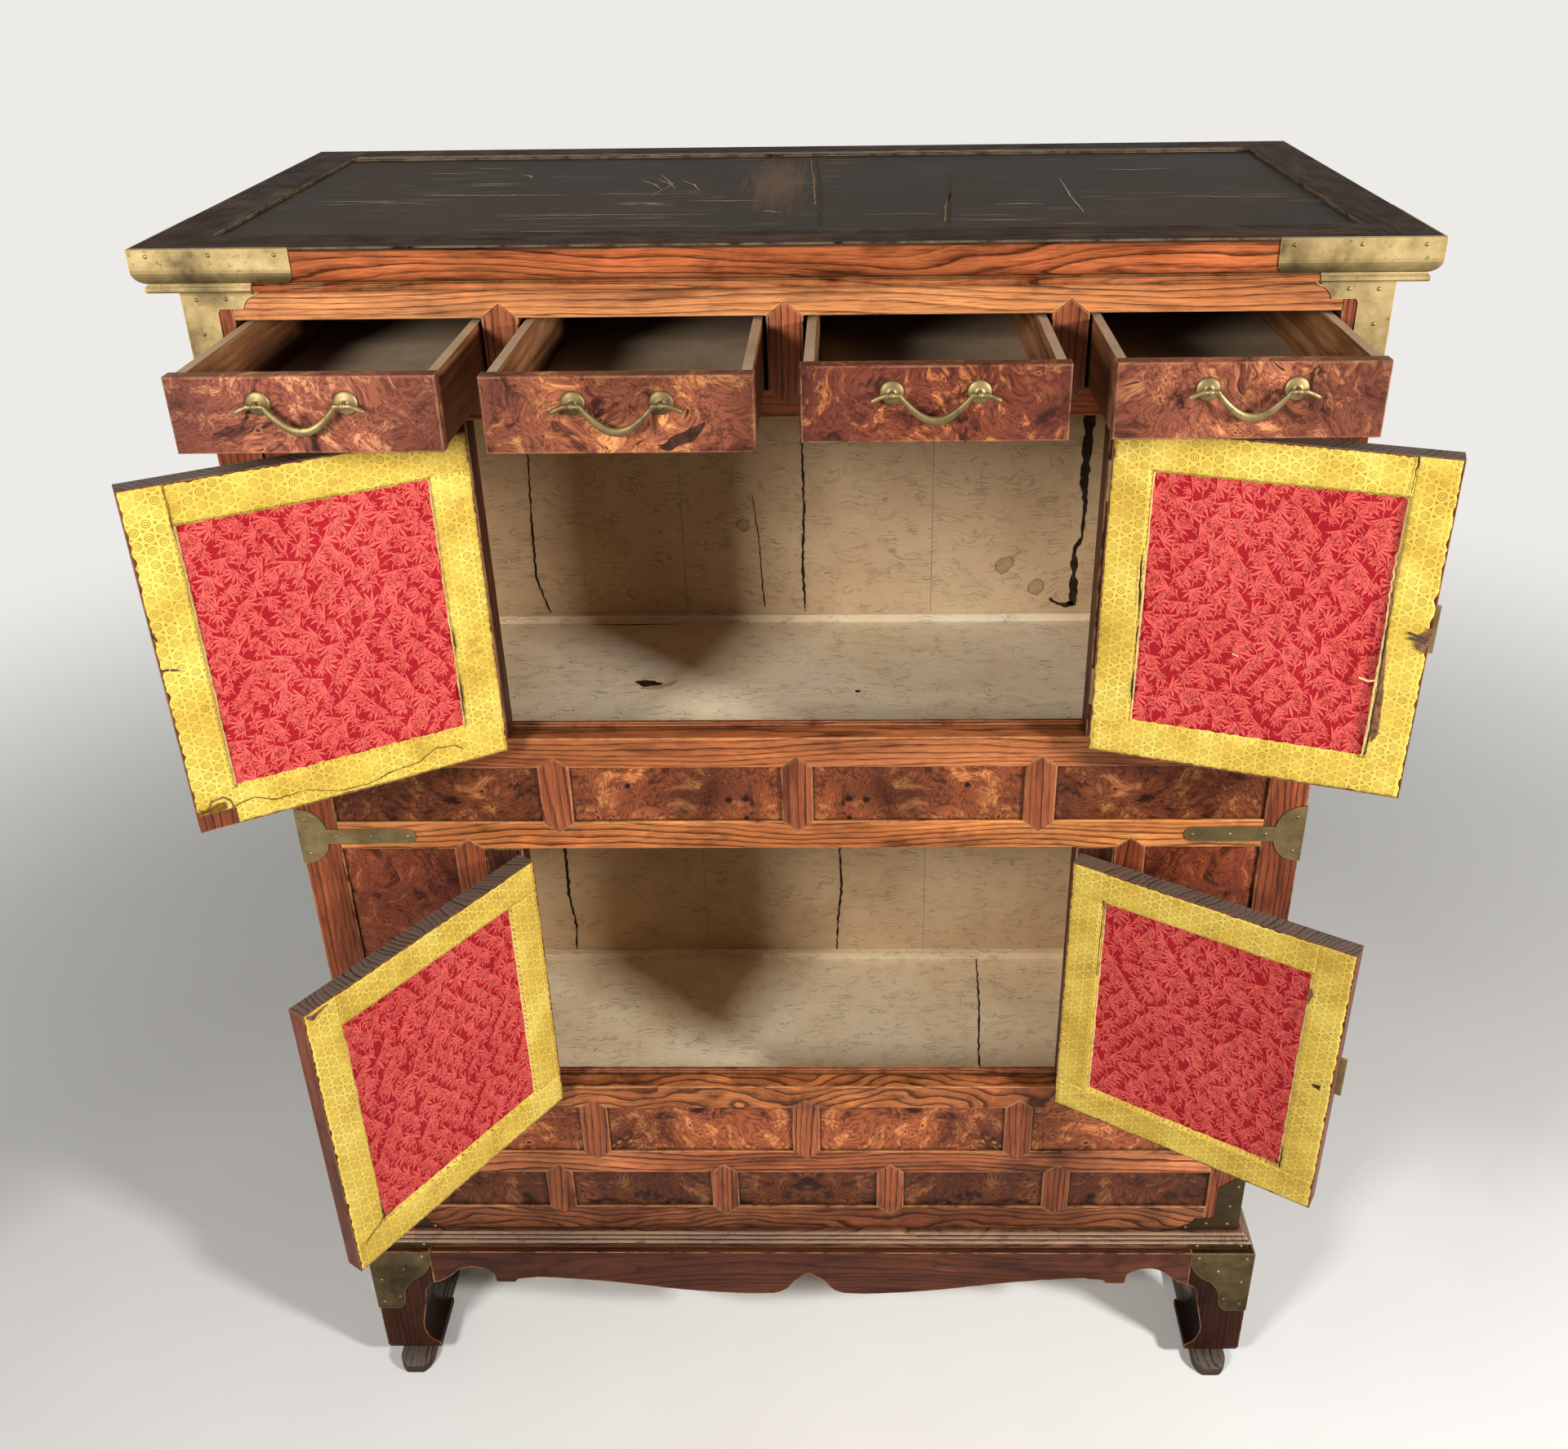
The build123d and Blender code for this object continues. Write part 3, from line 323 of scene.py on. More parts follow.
def lacquer_top():
    """Dark oil lacquer on a joined board top, worn by use: near black with a brown cast, fine scratches
    along and across, and browner patches where the lacquer is thin beside the open joint."""
    made, add, place = new_material("dark_lacquered_board")
    zone = add("TexNoise", place, per(200), 6, 0.65)
    colour = add("ValToRGB", zone, stops=[(0.3, "#221C17"), (0.5, "#382F27"), (0.7, "#54473A")])
    along = add("VectorMath MULTIPLY", place, (0.03, 1, 1))
    marks = add("TexNoise", along, per(3), 2, 0.6)
    where = patches(add, place, 125, 4, 0.55, 0.47, 0.62)
    marks = add("Math MULTIPLY", add("MapRange", marks, 0.61, 0.68, 0, 0.8), where)
    across = add("VectorMath MULTIPLY", place, (1, 0.05, 1))
    grain = add("TexNoise", across, per(4.2), 3, 0.6)
    thin = add("VectorMath SUBTRACT", place, (-0.012, 0.03, TOP_FACE))
    thin = add("VectorMath LENGTH", add("VectorMath MULTIPLY", thin, (1, 0.22, 1)))
    thin = add("MapRange", add("Math MULTIPLY_ADD", grain, 0.05, thin), 0.056, 0.034, 0, 0.75)
    streak = add("MapRange", grain, 0.6, 0.72, 0, 0.35)
    for mask, tone in ((marks, "#B8A488"), (thin, "#76593F"), (streak, "#4A392D")):
        colour = add("Mix RGBA", mask, colour, tone)
    gloss = add("MapRange", zone, 0.3, 0.7, 0.46, 0.66)
    return connect(made, add, colour, gloss, grain, 0.0001, 0.5, sheen=0.03)


def drawer_wood():
    """Unfinished softwood of the drawer boxes, planed and browned by age, with soft straight grain along y
    and a pale dusting on what faces up, which also paints the light that falls on the drawer bottoms from
    above."""
    made, add, place = new_material("aged_softwood")
    stretched = add("VectorMath MULTIPLY", place, (1, 0.06, 1))
    grain = add("TexNoise", stretched, per(7.1), 4, 0.6, 2, 0.4)
    zone = add("TexNoise", place, per(111), 3)
    mixed = add("Math MULTIPLY_ADD", zone, 0.6, grain)
    colour = add("ValToRGB", mixed, stops=[(0.55, "#4A2C1A"), (0.8, "#704729"), (1.05, "#8E6440")])
    up = add("SeparateXYZ", add("TexCoord", out="Normal"), out=2)
    # Pale dusting on upward faces, which also paints the light from above.
    dust_and_light = patches(add, place, 56, 6, 0.65, 0.3, 0.6, 0.6, 0.95)
    up = add("MapRange", up, 0.4, 0.9)
    dust_and_light = add("Math MULTIPLY", dust_and_light, up)
    colour = add("Mix RGBA", dust_and_light, colour, "#BFA585")
    gloss = add("MapRange", grain, 0, 1, 0.62, 0.82)
    return connect(made, add, colour, gloss, grain, 0.0002, 0.5, sheen=0.15)


# Metal and paper

def aged_brass(name="aged_sheet_brass", light="#B29B6D", mid="#917C52", dark="#5C4D32", foot=0.0):
    """Hammered sheet brass, dulled by age: cloudy khaki with small dark tarnish spots, faint dents, and
    edges rubbed bright with a painted highlight. Foot is the share of painted shade, a dark brown, at the
    foot of the carcass; it fades out upwards."""
    made, add, place = new_material(name)
    cloud = add("TexNoise", place, per(38), 6, 0.62)
    colour = add("ValToRGB", cloud, stops=[(0.32, dark), (0.5, mid), (0.68, light)])
    spots = patches(add, place, 4.8, 4, 0.6, 0.6, 0.74, 0, 0.75)
    colour = add("Mix RGBA", spots, colour, "#42341F")
    # Edges rubbed bright, with a painted highlight.
    rub_and_highlight = add("Math MULTIPLY", edge_mask(add, 0.0008), 0.75)
    colour = add("Mix RGBA", rub_and_highlight, colour, "#CDB98A")
    # Painted shade, darker towards the foot of the carcass.
    if foot:
        low = add("MapRange", add("SeparateXYZ", place, out=2), 0.95, 0.24, 0, foot)
        colour = add("Mix RGBA", low, colour, "#2E2416")
    gloss = add("MapRange", cloud, 0.3, 0.7, 0.6, 0.44)
    return connect(made, add, colour, gloss, add("TexNoise", place, per(11.8), 3), 0.0005, 0.35,
                   metal=0.9)


def lining_paper(name, tones, outer=None, blots=()):
    """Old mulberry paper pasted inside, khaki from age: clouded stains, brown spots, and a web of fine
    creases that run mostly level. Where outer is given as (axis, level), what lies beyond that level is
    bare board. Blots are water stains (x, z, radius) with a darker rim."""
    made, add, place = new_material(name)
    cloud = add("TexNoise", place, per(222), 6, 0.6)
    colour = add("ValToRGB", cloud, stops=list(zip((0.3, 0.5, 0.7), tones)))
    warp = add("TexNoise", place, per(71), 3, out="Color")
    bent = add("VectorMath MULTIPLY_ADD", warp, (0.05, 0.05, 0.05), place)
    level = add("VectorMath MULTIPLY", bent, (0.1, 1, 1))
    crease = add("Math ABSOLUTE", add("Math SUBTRACT", add("TexNoise", level, per(5.3), 2), 0.5))
    crease = add("MapRange", crease, 0.034, 0)
    some = patches(add, place, 22, 3, 0.5, 0.42, 0.6)
    crease = add("Math MULTIPLY", crease, some)
    colour = add("Mix RGBA", add("Math MULTIPLY", crease, 0.36), colour, "#5E4C33")
    spots = patches(add, place, 50, 5, 0.65, 0.64, 0.76, 0, 0.5)
    colour = add("Mix RGBA", spots, colour, "#7E6743")
    for x, z, size in blots:
        near = add("VectorMath DISTANCE", add("VectorMath MULTIPLY", place, (1, 0, 1)), (x, 0, z))
        near = add("Math MULTIPLY_ADD", add("TexNoise", place, per(14.3), 3), 1.6 * size, near)
        near = add("Math MULTIPLY", near, 1 / (1.8 * size))
        mark = add("ValToRGB", near, stops=[(0, 0.3), (0.8, 0.38), (0.94, 0.75), (1, 0)])
        colour = add("Mix RGBA", mark, colour, "#7A5F38")
    if outer:
        axis, limit = outer
        far = add("Math GREATER_THAN", add("Math ABSOLUTE", add("SeparateXYZ", place, out=axis)), limit)
        stretched = add("VectorMath MULTIPLY", place, (1, 1, 0.05))
        grain = add("TexNoise", stretched, per(8.3), 4, 0.6, 2, 0.5)
        board = add("ValToRGB", grain, stops=[(0.3, "#3E2114"), (0.52, "#643A20"), (0.72, "#7E4F2E")])
        colour = add("Mix RGBA", far, colour, board)
    relief = add("Math MULTIPLY_ADD", crease, 0.6, add("TexNoise", level, per(20), 4, 0.6))
    gloss = add("MapRange", cloud, 0, 1, 0.76, 0.9)
    return connect(made, add, colour, gloss, relief, 0.0012, 0.8, sheen=0.12)


def yellow_paper():
    """Yellow paper, block printed with small rings in a hexagon lattice and pasted on the door borders. The
    lattice is the sum of three cosine waves sixty degrees apart, 10.5 mm from ring to ring; its high levels
    are the rings and its low ones the dots between. Old, so it is stained, rubbed pale and browned in
    places."""
    made, add, uv = new_material("yellow_printed_paper", printed=True)
    waves = []
    for turn in (0.0, 60.0, 120.0):
        way = (math.cos(math.radians(turn)), math.sin(math.radians(turn)), 0.0)
        step = add("Math MULTIPLY", add("VectorMath DOT_PRODUCT", uv, way), 2 * math.pi / 0.0091)
        waves.append(add("Math COSINE", step))
    total = add("Math ADD", add("Math ADD", waves[0], waves[1]), waves[2])
    level = add("MapRange", total, -1.5, 3)
    lattice = add("ValToRGB", level, stops=[(0, 0.8), (0.04, 0.6), (0.09, 0), (0.38, 0), (0.43, 1),
                                            (0.55, 1), (0.61, 0), (0.78, 0), (0.83, 0.9), (0.91, 0.9),
                                            (0.95, 0)])
    cloud = add("TexNoise", uv, per(56), 5, 0.6)
    base = add("ValToRGB", cloud, stops=[(0.3, "#B49336"), (0.48, "#CFAF48"), (0.66, "#DEC45E")])
    wear = patches(add, uv, 24, 4, 0.6, 0.36, 0.62, 0.4, 0.95)
    colour = add("Mix RGBA", add("Math MULTIPLY", lattice, wear), base, "#7A5A14")
    stain = patches(add, uv, 33, 6, 0.68, 0.6, 0.72, 0, 0.6)
    colour = add("Mix RGBA", stain, colour, "#8E6526")
    gloss = add("MapRange", cloud, 0, 1, 0.55, 0.72)
    return connect(made, add, colour, gloss, add("TexNoise", uv, per(11.1), 4), 0.0003, 0.5, sheen=0.2)


def printed_red(name, low, high):
    """Red figured paper with a fine woven tooth, faded in clouds; the leaf print on it takes a lighter
    red."""
    made, add, uv = new_material(name, printed=True)
    cloud = add("TexNoise", uv, per(71), 5, 0.55)
    colour = add("ValToRGB", cloud, stops=[(0.3, low), (0.7, high)])
    tooth = add("TexNoise", uv, per(1.11), 2, 0.6)
    fade = add("MapRange", tooth, 0.35, 0.7, 0, 0.18)
    colour = add("Mix RGBA", fade, colour, "#7E121B")
    gloss = add("MapRange", cloud, 0, 1, 0.7, 0.85)
    return connect(made, add, colour, gloss, tooth, 0.0001, 0.5, sheen=0.12)


def rough_spot(name, low, high, grain):
    """Raw spot with a matt broken surface, such as torn fibre, old glue, rust or an open gap: clouded
    between two tones, with clouds of the grain in millimetres."""
    made, add, place = new_material(name)
    cloud = add("TexNoise", place, per(grain), 5, 0.65)
    colour = add("ValToRGB", cloud, stops=[(0.32, low), (0.68, high)])
    gloss = add("MapRange", cloud, 0, 1, 0.7, 0.9)
    return connect(made, add, colour, gloss, cloud, 0.0003, 0.5, sheen=0.15)


# Surfaces

def points_of(*parts):
    """Array of points from their coordinates, spread over one grid."""
    return np.stack(np.broadcast_arrays(*parts), axis=-1)


def normals_of(line):
    """Unit normals of a line in a plane, a quarter turn to the left of its run."""
    way = np.gradient(line, axis=0)
    way /= np.linalg.norm(way, axis=1)[:, None]
    return points_of(-way[:, 1], way[:, 0])


def in_scene(name, data):
    """Object of a mesh, a camera or a lamp, linked to the scene."""
    made = bpy.data.objects.new(name, data)
    bpy.context.scene.collection.objects.link(made)
    return made


def surface(name, points, material, body, uv=None, round_u=False, facing=None, closed=False, smooth=True):
    """Mesh from an array of points (copies, rows, columns, 3): quads between neighbouring rows and columns,
    joined round the rows where round_u is set. A sheet is turned to face the given way; closed shapes are
    welded and turned outwards."""
    points = np.asarray(points, dtype=float)
    if points.ndim == 3:
        points = points[None]
    copies, rows, columns = points.shape[:3]
    index = np.arange(copies * rows * columns).reshape(copies, rows, columns)
    if round_u:
        index = np.concatenate([index, index[:, :1]], axis=1)
    quads = np.stack([index[:, :-1, :-1], index[:, 1:, :-1], index[:, 1:, 1:], index[:, :-1, 1:]], axis=-1)
    quads = quads.reshape(-1, 4)
    flat = points.reshape(-1, 3)
    if facing is not None:
        a, b, c, d = (flat[quads[:, k]] for k in range(4))
        backward = np.cross(c - a, d - b) @ np.asarray(facing, dtype=float) < 0
        quads[backward] = quads[backward][:, ::-1]
    mesh = bpy.data.meshes.new(name)
    mesh.from_pydata(flat.tolist(), [], quads.tolist())
    if uv is not None:
        layer = mesh.uv_layers.new(name="UVMap")
        layer.data.foreach_set("uv", np.asarray(uv, dtype=float).reshape(-1, 2)[quads.ravel()].ravel())
    if closed:
        work = bmesh.new()
        work.from_mesh(mesh)
        bmesh.ops.remove_doubles(work, verts=work.verts, dist=1e-6)
        bmesh.ops.dissolve_degenerate(work, edges=work.edges, dist=1e-7)
        bmesh.ops.recalc_face_normals(work, faces=work.faces)
        work.to_mesh(mesh)
        work.free()
    mesh.polygons.foreach_set("use_smooth", np.full(len(mesh.polygons), smooth))
    mesh.materials.append(material)
    piece = in_scene(name, mesh)
    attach(piece, body)
    return piece


def thicken(piece, depth):
    """Gives a sheet the thickness of its paper, behind its face."""
    wall = piece.modifiers.new("paper", "SOLIDIFY")
    wall.thickness = depth
    wall.offset = -1.0
    return piece


def wander(t, seed, waves=7, low=2.0, high=40.0):
    """Irregular line of about one unit either way: a sum of sines with seeded pitch, height and phase."""
    rng = np.random.default_rng(seed)
    pitch = rng.uniform(low, high, waves)
    phase = rng.uniform(0, 2 * np.pi, waves)
    height = rng.uniform(0.4, 1.0, waves) / np.sqrt(waves)
    return np.sum(height * np.sin(np.asarray(t)[..., None] * pitch + phase), axis=-1)


def on_door(door, x, z, h):
    """Points given on a closed left door, x from its hinge edge, z from its foot and h in from its inner
    face, turned about the hinge axis to where that door rests, and mirrored for a right door."""
    right, angle, foot = DOORS[door]
    turn = -math.radians(angle)
    dx = DOOR_EDGE + x + HINGE_X
    dy = DOOR_INNER + h - HINGE_Y
    px = -HINGE_X + dx * math.cos(turn) - dy * math.sin(turn)
    py = HINGE_Y + dx * math.sin(turn) + dy * math.cos(turn)
    px = -px if right else px
    return points_of(px, py, foot + z)


def door_facing(door):
    """The way the lined side of a door faces where it rests."""
    zero = np.zeros(1)
    return (on_door(door, zero, zero, zero + 1.0) - on_door(door, zero, zero, zero))[0]


def on_upright(y):
    """Gives the function that puts places across and up on an upright face."""
    return lambda a, b: points_of(a, y, b)


def on_level(z):
    """Gives the function that puts places across and along on a level face."""
    return lambda a, b: points_of(a, b, z)


def ribbon(name, places, to_space, facing, body, material, seed, jitter=0.0004):
    """Crack, tear or scratch as a narrow sheet along places (across, along, width) in millimetres. The line
    between the places wanders sideways by the jitter, and its width comes and goes; to_space lifts it to
    its surface."""
    places = np.asarray(places, dtype=float) / 1000
    gaps = np.hypot(*np.diff(places[:, :2], axis=0).T)
    run = np.concatenate([[0.0], np.cumsum(gaps)])
    stride = 0.0012
    t = np.linspace(0, run[-1], max(12, min(240, int(run[-1] / stride))))
    line = points_of(*(np.interp(t, run, places[:, k]) for k in (0, 1)))
    normal = normals_of(line)
    line = line + normal * (wander(t * 40, seed, low=1, high=20) * jitter)[:, None]
    swell = np.clip(1 + 0.4 * wander(t * 20, seed + 1, low=1, high=20), 0.4, 1.8)
    width = np.interp(t, run, places[:, 2]) * swell
    edge = np.array([-0.5, 0.0, 0.5])[None, :, None] * width[:, None, None] * normal[:, None, :]
    points = line[:, None, :] + edge
    return surface(name, to_space(points[..., 0], points[..., 1]), material, body, facing=facing,
                   smooth=False)


# Finishes of the CAD pieces

# Darker copies of the wood tones, which paint shade: the first paints half shade on the corner posts, side
# rails, flank muntins and stops, the second deeper shade on the door posts and side aprons.
HALF_SHADED = ("#8E4A2C", "#6E3219", "#1E0A05")
SHADED = ("#542E1E", "#402012", "#150704")
WALL = ("#BE9C74", "#D8B890", "#E4C8A0")
brass = aged_brass()
brass_handled = aged_brass("handled_brass", "#A08A60", "#7E6C46", "#50432A")
# The frame plates take painted shade towards the foot.
brass_frame = aged_brass("frame_sheet_brass", foot=0.88)
# A darker copy of the brass: painted shade on the leg plates.
brass_shaded = aged_brass("shaded_sheet_brass", "#6E5C3C", "#53442A", "#372C1A")
paper_back = lining_paper("lining_paper_back", WALL, (1, 0.204),
                          ((0.220, 0.772, 0.011), (0.256, 0.745, 0.010), (-0.071, 0.822, 0.007)))
# A darker copy of the lining paper on the sides, painted shade; the floors and ledges take a lighter copy,
# painted light.
paper_side = lining_paper("shaded_lining_paper_sides", ("#8C6E4A", "#A2835C", "#B4966E"), (0, 0.4425))
paper_floor = lining_paper("lit_lining_paper_floors", ("#E8CEA4", "#F8E4C0", "#FFF1D6"))
drawer_box_wood = drawer_wood()
# Its rows paint light and shade: the row at 0.331 lighter, the row at 0.247 darker, and the outer leaves of
# the middle row darker.
burl_row = burl("burl_leaves_rows", seed=0.3, mirrored=True,
                knots=((0.046, 0.728), (0.061, 0.727), (0.150, 0.742)),
                rows=((0.331, 0.036, 0.40, 0.0), (0.247, 0.032, -0.54, 0.0), (0.735, 0.036, -0.40, 0.20)))
burl_flank = burl("burl_leaves_flanks", ("#984E30", "#7A3A22", "#2C0E07", "#AE6840"), 1.7, 0.55,
                  mirrored=True)
front_tones = (("#C8835C", "#8E4E3A", "#2C110B", "#D29A66"), ("#D08852", "#96553A", "#2E120A", "#DCA468"),
               ("#C87A48", "#743A28", "#260E08", "#D09058"), ("#CA8256", "#8C4E38", "#2A100A", "#D29A62"))
burl_fronts = [burl(f"burl_leaf_drawer_{i + 1}", tones, 3.1 + 1.9 * i, 0.70,
                    ends=(DRAWER_MIDDLES[i], 0.100)) for i, tones in enumerate(front_tones)]
burl_door = burl("burl_leaves_doors", ("#94492A", "#5E2716", "#2B0F0A", "#B8743E"), 4.4, 1.3)

finishes = {
    "top_panel": lacquer_top(),
    "cornice": zelkova("cornice", "x", (-0.255, 1.170), rim=0.428, seed=0.2, swing=0.024, draw=0.24,
        ring=0.0062, top="#3E2C1F", bold=1.25, sheen=0.012),
    "corner_posts": zelkova("posts", "z", (0.10, -0.42), HALF_SHADED, seed=1.1),
    "top_rail": zelkova("top_rail", "x", (-0.175, 1.235), ("#D28B54", "#B0683A", "#34150A"), seed=2.0,
        ring=0.0056, bold=1.2),
    "drawer_rail": zelkova("drawer_rail", "x", (-0.15, 1.02), seed=3.0),
    "upper_sill_rail": zelkova("upper_sill", "x", (-0.19, 0.84), ("#C07646", "#9C5830", "#2A1008"),
        seed=4.0),
    "lower_head_rail": zelkova("lower_head", "x", (-0.200, 0.655), ("#D08448", "#A86032", "#260E07"),
        seed=5.0, ring=0.0062, draw=0.3, bold=1.75),
    "lower_sill_rail": zelkova("lower_sill", "x", (-0.208, 0.372), ("#BA7240", "#96542E", "#2A1008"),
        seed=6.3, ring=0.0085, swing=0.030, draw=0.62, bold=1.7),
    "row_rail": zelkova("row_rail", "x", (-0.19, 0.33), ("#C67A4C", "#9C5634", "#220C06"), seed=7.0,
        ring=0.0058, draw=0.25, bold=1.8),
    # The bottom rail, the apron and the legs take darker tones of their own: painted shade at the foot.
    "bottom_rail": zelkova("bottom_rail", "x", (-0.200, 0.190), ("#8C5434", "#6C3A22", "#1C0A05"), seed=8.0,
        ring=0.0072, swing=0.026, draw=0.5, bold=1.7),
    "front_muntins": zelkova("muntins", "z", (0.62, -0.24), ("#9E5836", "#7C4026", "#1E0B06"), seed=9.0,
        ring=0.0058, bold=1.6),
    "flank_muntins": zelkova("flank_muntins", "z", (0.05, -0.30), HALF_SHADED, seed=9.6),
    "door_posts": zelkova("door_posts", "z", (0.02, -0.36), SHADED, seed=10.0),
    "side_rails": zelkova("side_rails", "y", (0.30, 0.60), HALF_SHADED, seed=11.0),
    "base_moulding": zelkova("base", "x", (-0.235, 0.150), ("#835840", "#5E3826", "#1E0E08"), rim=0.416,
        seed=12.0, draw=0.4, swing=0.022, worn="#D2BA9A", wear=0.24),
    # Darker tones: painted shade at the foot.
    "front_apron": zelkova("apron", "x", (-0.33, 0.23), ("#623420", "#482214", "#180804"), seed=13.0,
        swing=0.02),
    "side_aprons": zelkova("side_aprons", "y", (0.36, 0.25), SHADED, seed=14.0),
    # Darker tones: painted shade at the foot, and painted shade on the inner faces.
    "legs": zelkova("legs", "z", (0.20, -0.05), ("#442416", "#331A0E", "#120603"), seed=15.0,
        inner="#120805", sheen=0.05),
    "runners": zelkova("runners", "y", (0.38, -0.06), ("#4C3C30", "#3A2C22", "#1A1310"), seed=16.0,
        worn="#8E806E", ends="#5C5248"),
    "door_stops": zelkova("stops", "x", (-0.16, 0.50), HALF_SHADED, seed=17.0),
    "burl_panels": burl_row, "flank_panels": burl_flank,
    "side_panels": paper_side, "back_boards": paper_back, "compartment_floors": paper_floor,
    "back_ledges": paper_floor, "drawer_deck": drawer_box_wood, "drawer_guides": drawer_box_wood,
    "cornice_plates": brass, "hinge_frame_leaves": brass, "frame_plates": brass_frame,
    "leg_plates": brass_shaded,
}
for number in range(1, 5):
    finishes[f"drawer_{number}_front"] = burl_fronts[number - 1]
    finishes[f"drawer_{number}_box"] = drawer_box_wood
    finishes[f"drawer_{number}_pull_posts"] = brass_handled
    finishes[f"drawer_{number}_bail"] = brass_handled
for door, (right, angle, _) in DOORS.items():
    finishes[door + "_door_frame"] = zelkova(
        door + "_door", "z", (0.12, -0.12), ("#6E3B24", "#552618", "#24100A"), seed=angle,
        turn=math.radians(-angle if right else angle), worn="#A67B55", ends="#66594E")
    finishes[door + "_door_panel"] = burl_door
    finishes[door + "_door_fittings"] = brass
for name, finish in finishes.items():
    nodes[name].data.materials.clear()
    nodes[name].data.materials.append(finish)


# Drawer pulls

def pull_post_points(x, y):
    """Lathe form about the y axis: a domed rosette, a neck and a round knob; radius against reach."""
    reach = np.array([0, 0, .6, 1.3, 1.9, 2.3, 2.6, 3.8, 5.4, 6.8, 8, 9.2, 10, 10.3]) / 1000
    radius = np.array([0, 8.4, 8.4, 7.7, 6.1, 4.2, 2.3, 1.8, 1.9, 2.4, 2.5, 2, 1.1, 0]) / 1000
    angle = np.linspace(0, 2 * np.pi, 28, endpoint=False)[:, None]
    return points_of(x + radius * np.cos(angle), y - reach, PULL_Z + radius * np.sin(angle))


def bail_points(x, y):
    """Bail carried along a path: tail, pin through the post, hanging arc with a thick belly, pin and tail.
    The section is an ellipse across the path; collars are short swellings beside the posts."""
    near, far = PULL_SPACING / 2 - 0.0050, PULL_SPACING / 2 + 0.0045
    t = np.linspace(-1, 1, 61)
    sag = 0.0178
    arc = points_of(near * t, -sag * (0.76 * (1 - np.abs(t) ** 2.4) + 0.12 * (1 + np.cos(np.pi * t))))
    along = np.array([10, 9.8, 8.5, 5, 1.8, 0, -2, 1000 * (near - far) + 2]) / 1000
    tail = points_of(far + along, np.array([-4.6, -4.4, -3.6, -1.8, -.5, 0, 0, 0]) / 1000)
    path = np.concatenate([tail * (-1, 1), arc, tail[::-1]])
    normal = normals_of(path)
    belly = np.concatenate([np.zeros(8), 1 - np.abs(t) ** 1.6, np.zeros(8)])
    tip = np.array([0, 1.2, 1.7, 1.7, 1.5, 1.4, 1.4, 1.4]) / 1000
    base = np.concatenate([tip, np.full(61, 0.0015), tip[::-1]])
    collar = sum(np.exp(-((path[:, 0] - c) / 0.0008) ** 2) for c in (-far, -near, near, far))
    bead = 0.0008 * collar * (base > 0)
    tall = base + 0.0017 * belly + bead
    thick = base + 0.0004 * belly + bead
    angle = np.linspace(0, 2 * np.pi, 16, endpoint=False)
    px = x + path[None, :, 0] + np.cos(angle)[:, None] * tall * normal[:, 0]
    pz = PULL_Z + path[None, :, 1] + np.cos(angle)[:, None] * tall * normal[:, 1]
    py = y + np.sin(angle)[:, None] * thick
    return points_of(px, py, pz)


for i, (middle, out) in enumerate(zip(DRAWER_MIDDLES, DRAWER_OUT)):
    drawer = f"drawer_{i + 1}"
    face = FRONT - out
    spots = [middle - PULL_SPACING / 2, middle + PULL_SPACING / 2]
    posts = surface(drawer + "_rosettes", np.stack([pull_post_points(x, face) for x in spots]),
                    brass_handled, drawer, round_u=True, closed=True)
    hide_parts(drawer + "_pull_posts")
    bail = surface(drawer + "_handle_bar", bail_points(middle, face - PULL_REACH), brass_handled,
                   drawer + "_handle", round_u=True, closed=True)
    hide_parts(drawer + "_bail")


# Splits in the drawer fronts

split_wood = rough_spot("old_split", "#1E0F09", "#45281B", 5.6)
drawer_splits = (
    (2, "split", [(-80, 1107.8, 3), (-73, 1110, 7), (-61, 1116.2, 7.4), (-53, 1121.2, 4),
                  (-49, 1125.5, 1.2)]),
    (3, "notch", [(128.5, 1104, 3), (128, 1108.5, 2.2), (129, 1115, .6)]),
)
for number, label, places in drawer_splits:
    on_face = on_upright(FRONT - DRAWER_OUT[number - 1] - CLEAR)
    ribbon(f"drawer_{number}_{label}", places, on_face, (0, -1, 0), f"drawer_{number}", split_wood,
           500 + number, 0.0008)


# Runners

def runner_points(middle):
    """Flat bar with a rounded nose: a rounded rectangle carried along y, whose half width closes at the
    nose as an ellipse and whose upper edge falls towards the floor there."""
    low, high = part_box("runners")
    nose, heel = 0.016, 0.004
    swell = 1 - np.cos(np.linspace(0.12, np.pi / 2, 12))
    y = np.concatenate([[low[1]], low[1] + nose * swell, [high[1] - heel, high[1], high[1]]])
    tip = np.clip(1 - (y - low[1]) / nose, 0, 1)
    half = RUNNER_HALF * np.sqrt(np.clip(1 - 0.72 * tip ** 2, 0, 1))
    half[0] = half[-1] = 0.0
    tall = RUNNER_HEIGHT * (1 - 0.34 * tip ** 2)
    tall[-2:] -= 0.002
    angle = np.linspace(0, 2 * np.pi, 28, endpoint=False)
    cx, cz = np.cos(angle), np.sin(angle)
    square = 0.28
    round_x = np.sign(cx) * np.abs(cx) ** square
    round_z = 0.5 + 0.5 * np.sign(cz) * np.abs(cz) ** square
    rows = np.where(half > 0, 1.0, 0.0)
    px = middle + round_x[:, None] * half
    pz = round_z[:, None] * tall * rows + (1 - rows) * tall * 0.45
    return points_of(px, y, pz)


bars = np.stack([runner_points(-RUNNER_X), runner_points(RUNNER_X)])
runner_bars = surface("runner_bars", bars, finishes["runners"], "carcass", round_u=True, closed=True)
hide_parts("runners")


# Nails

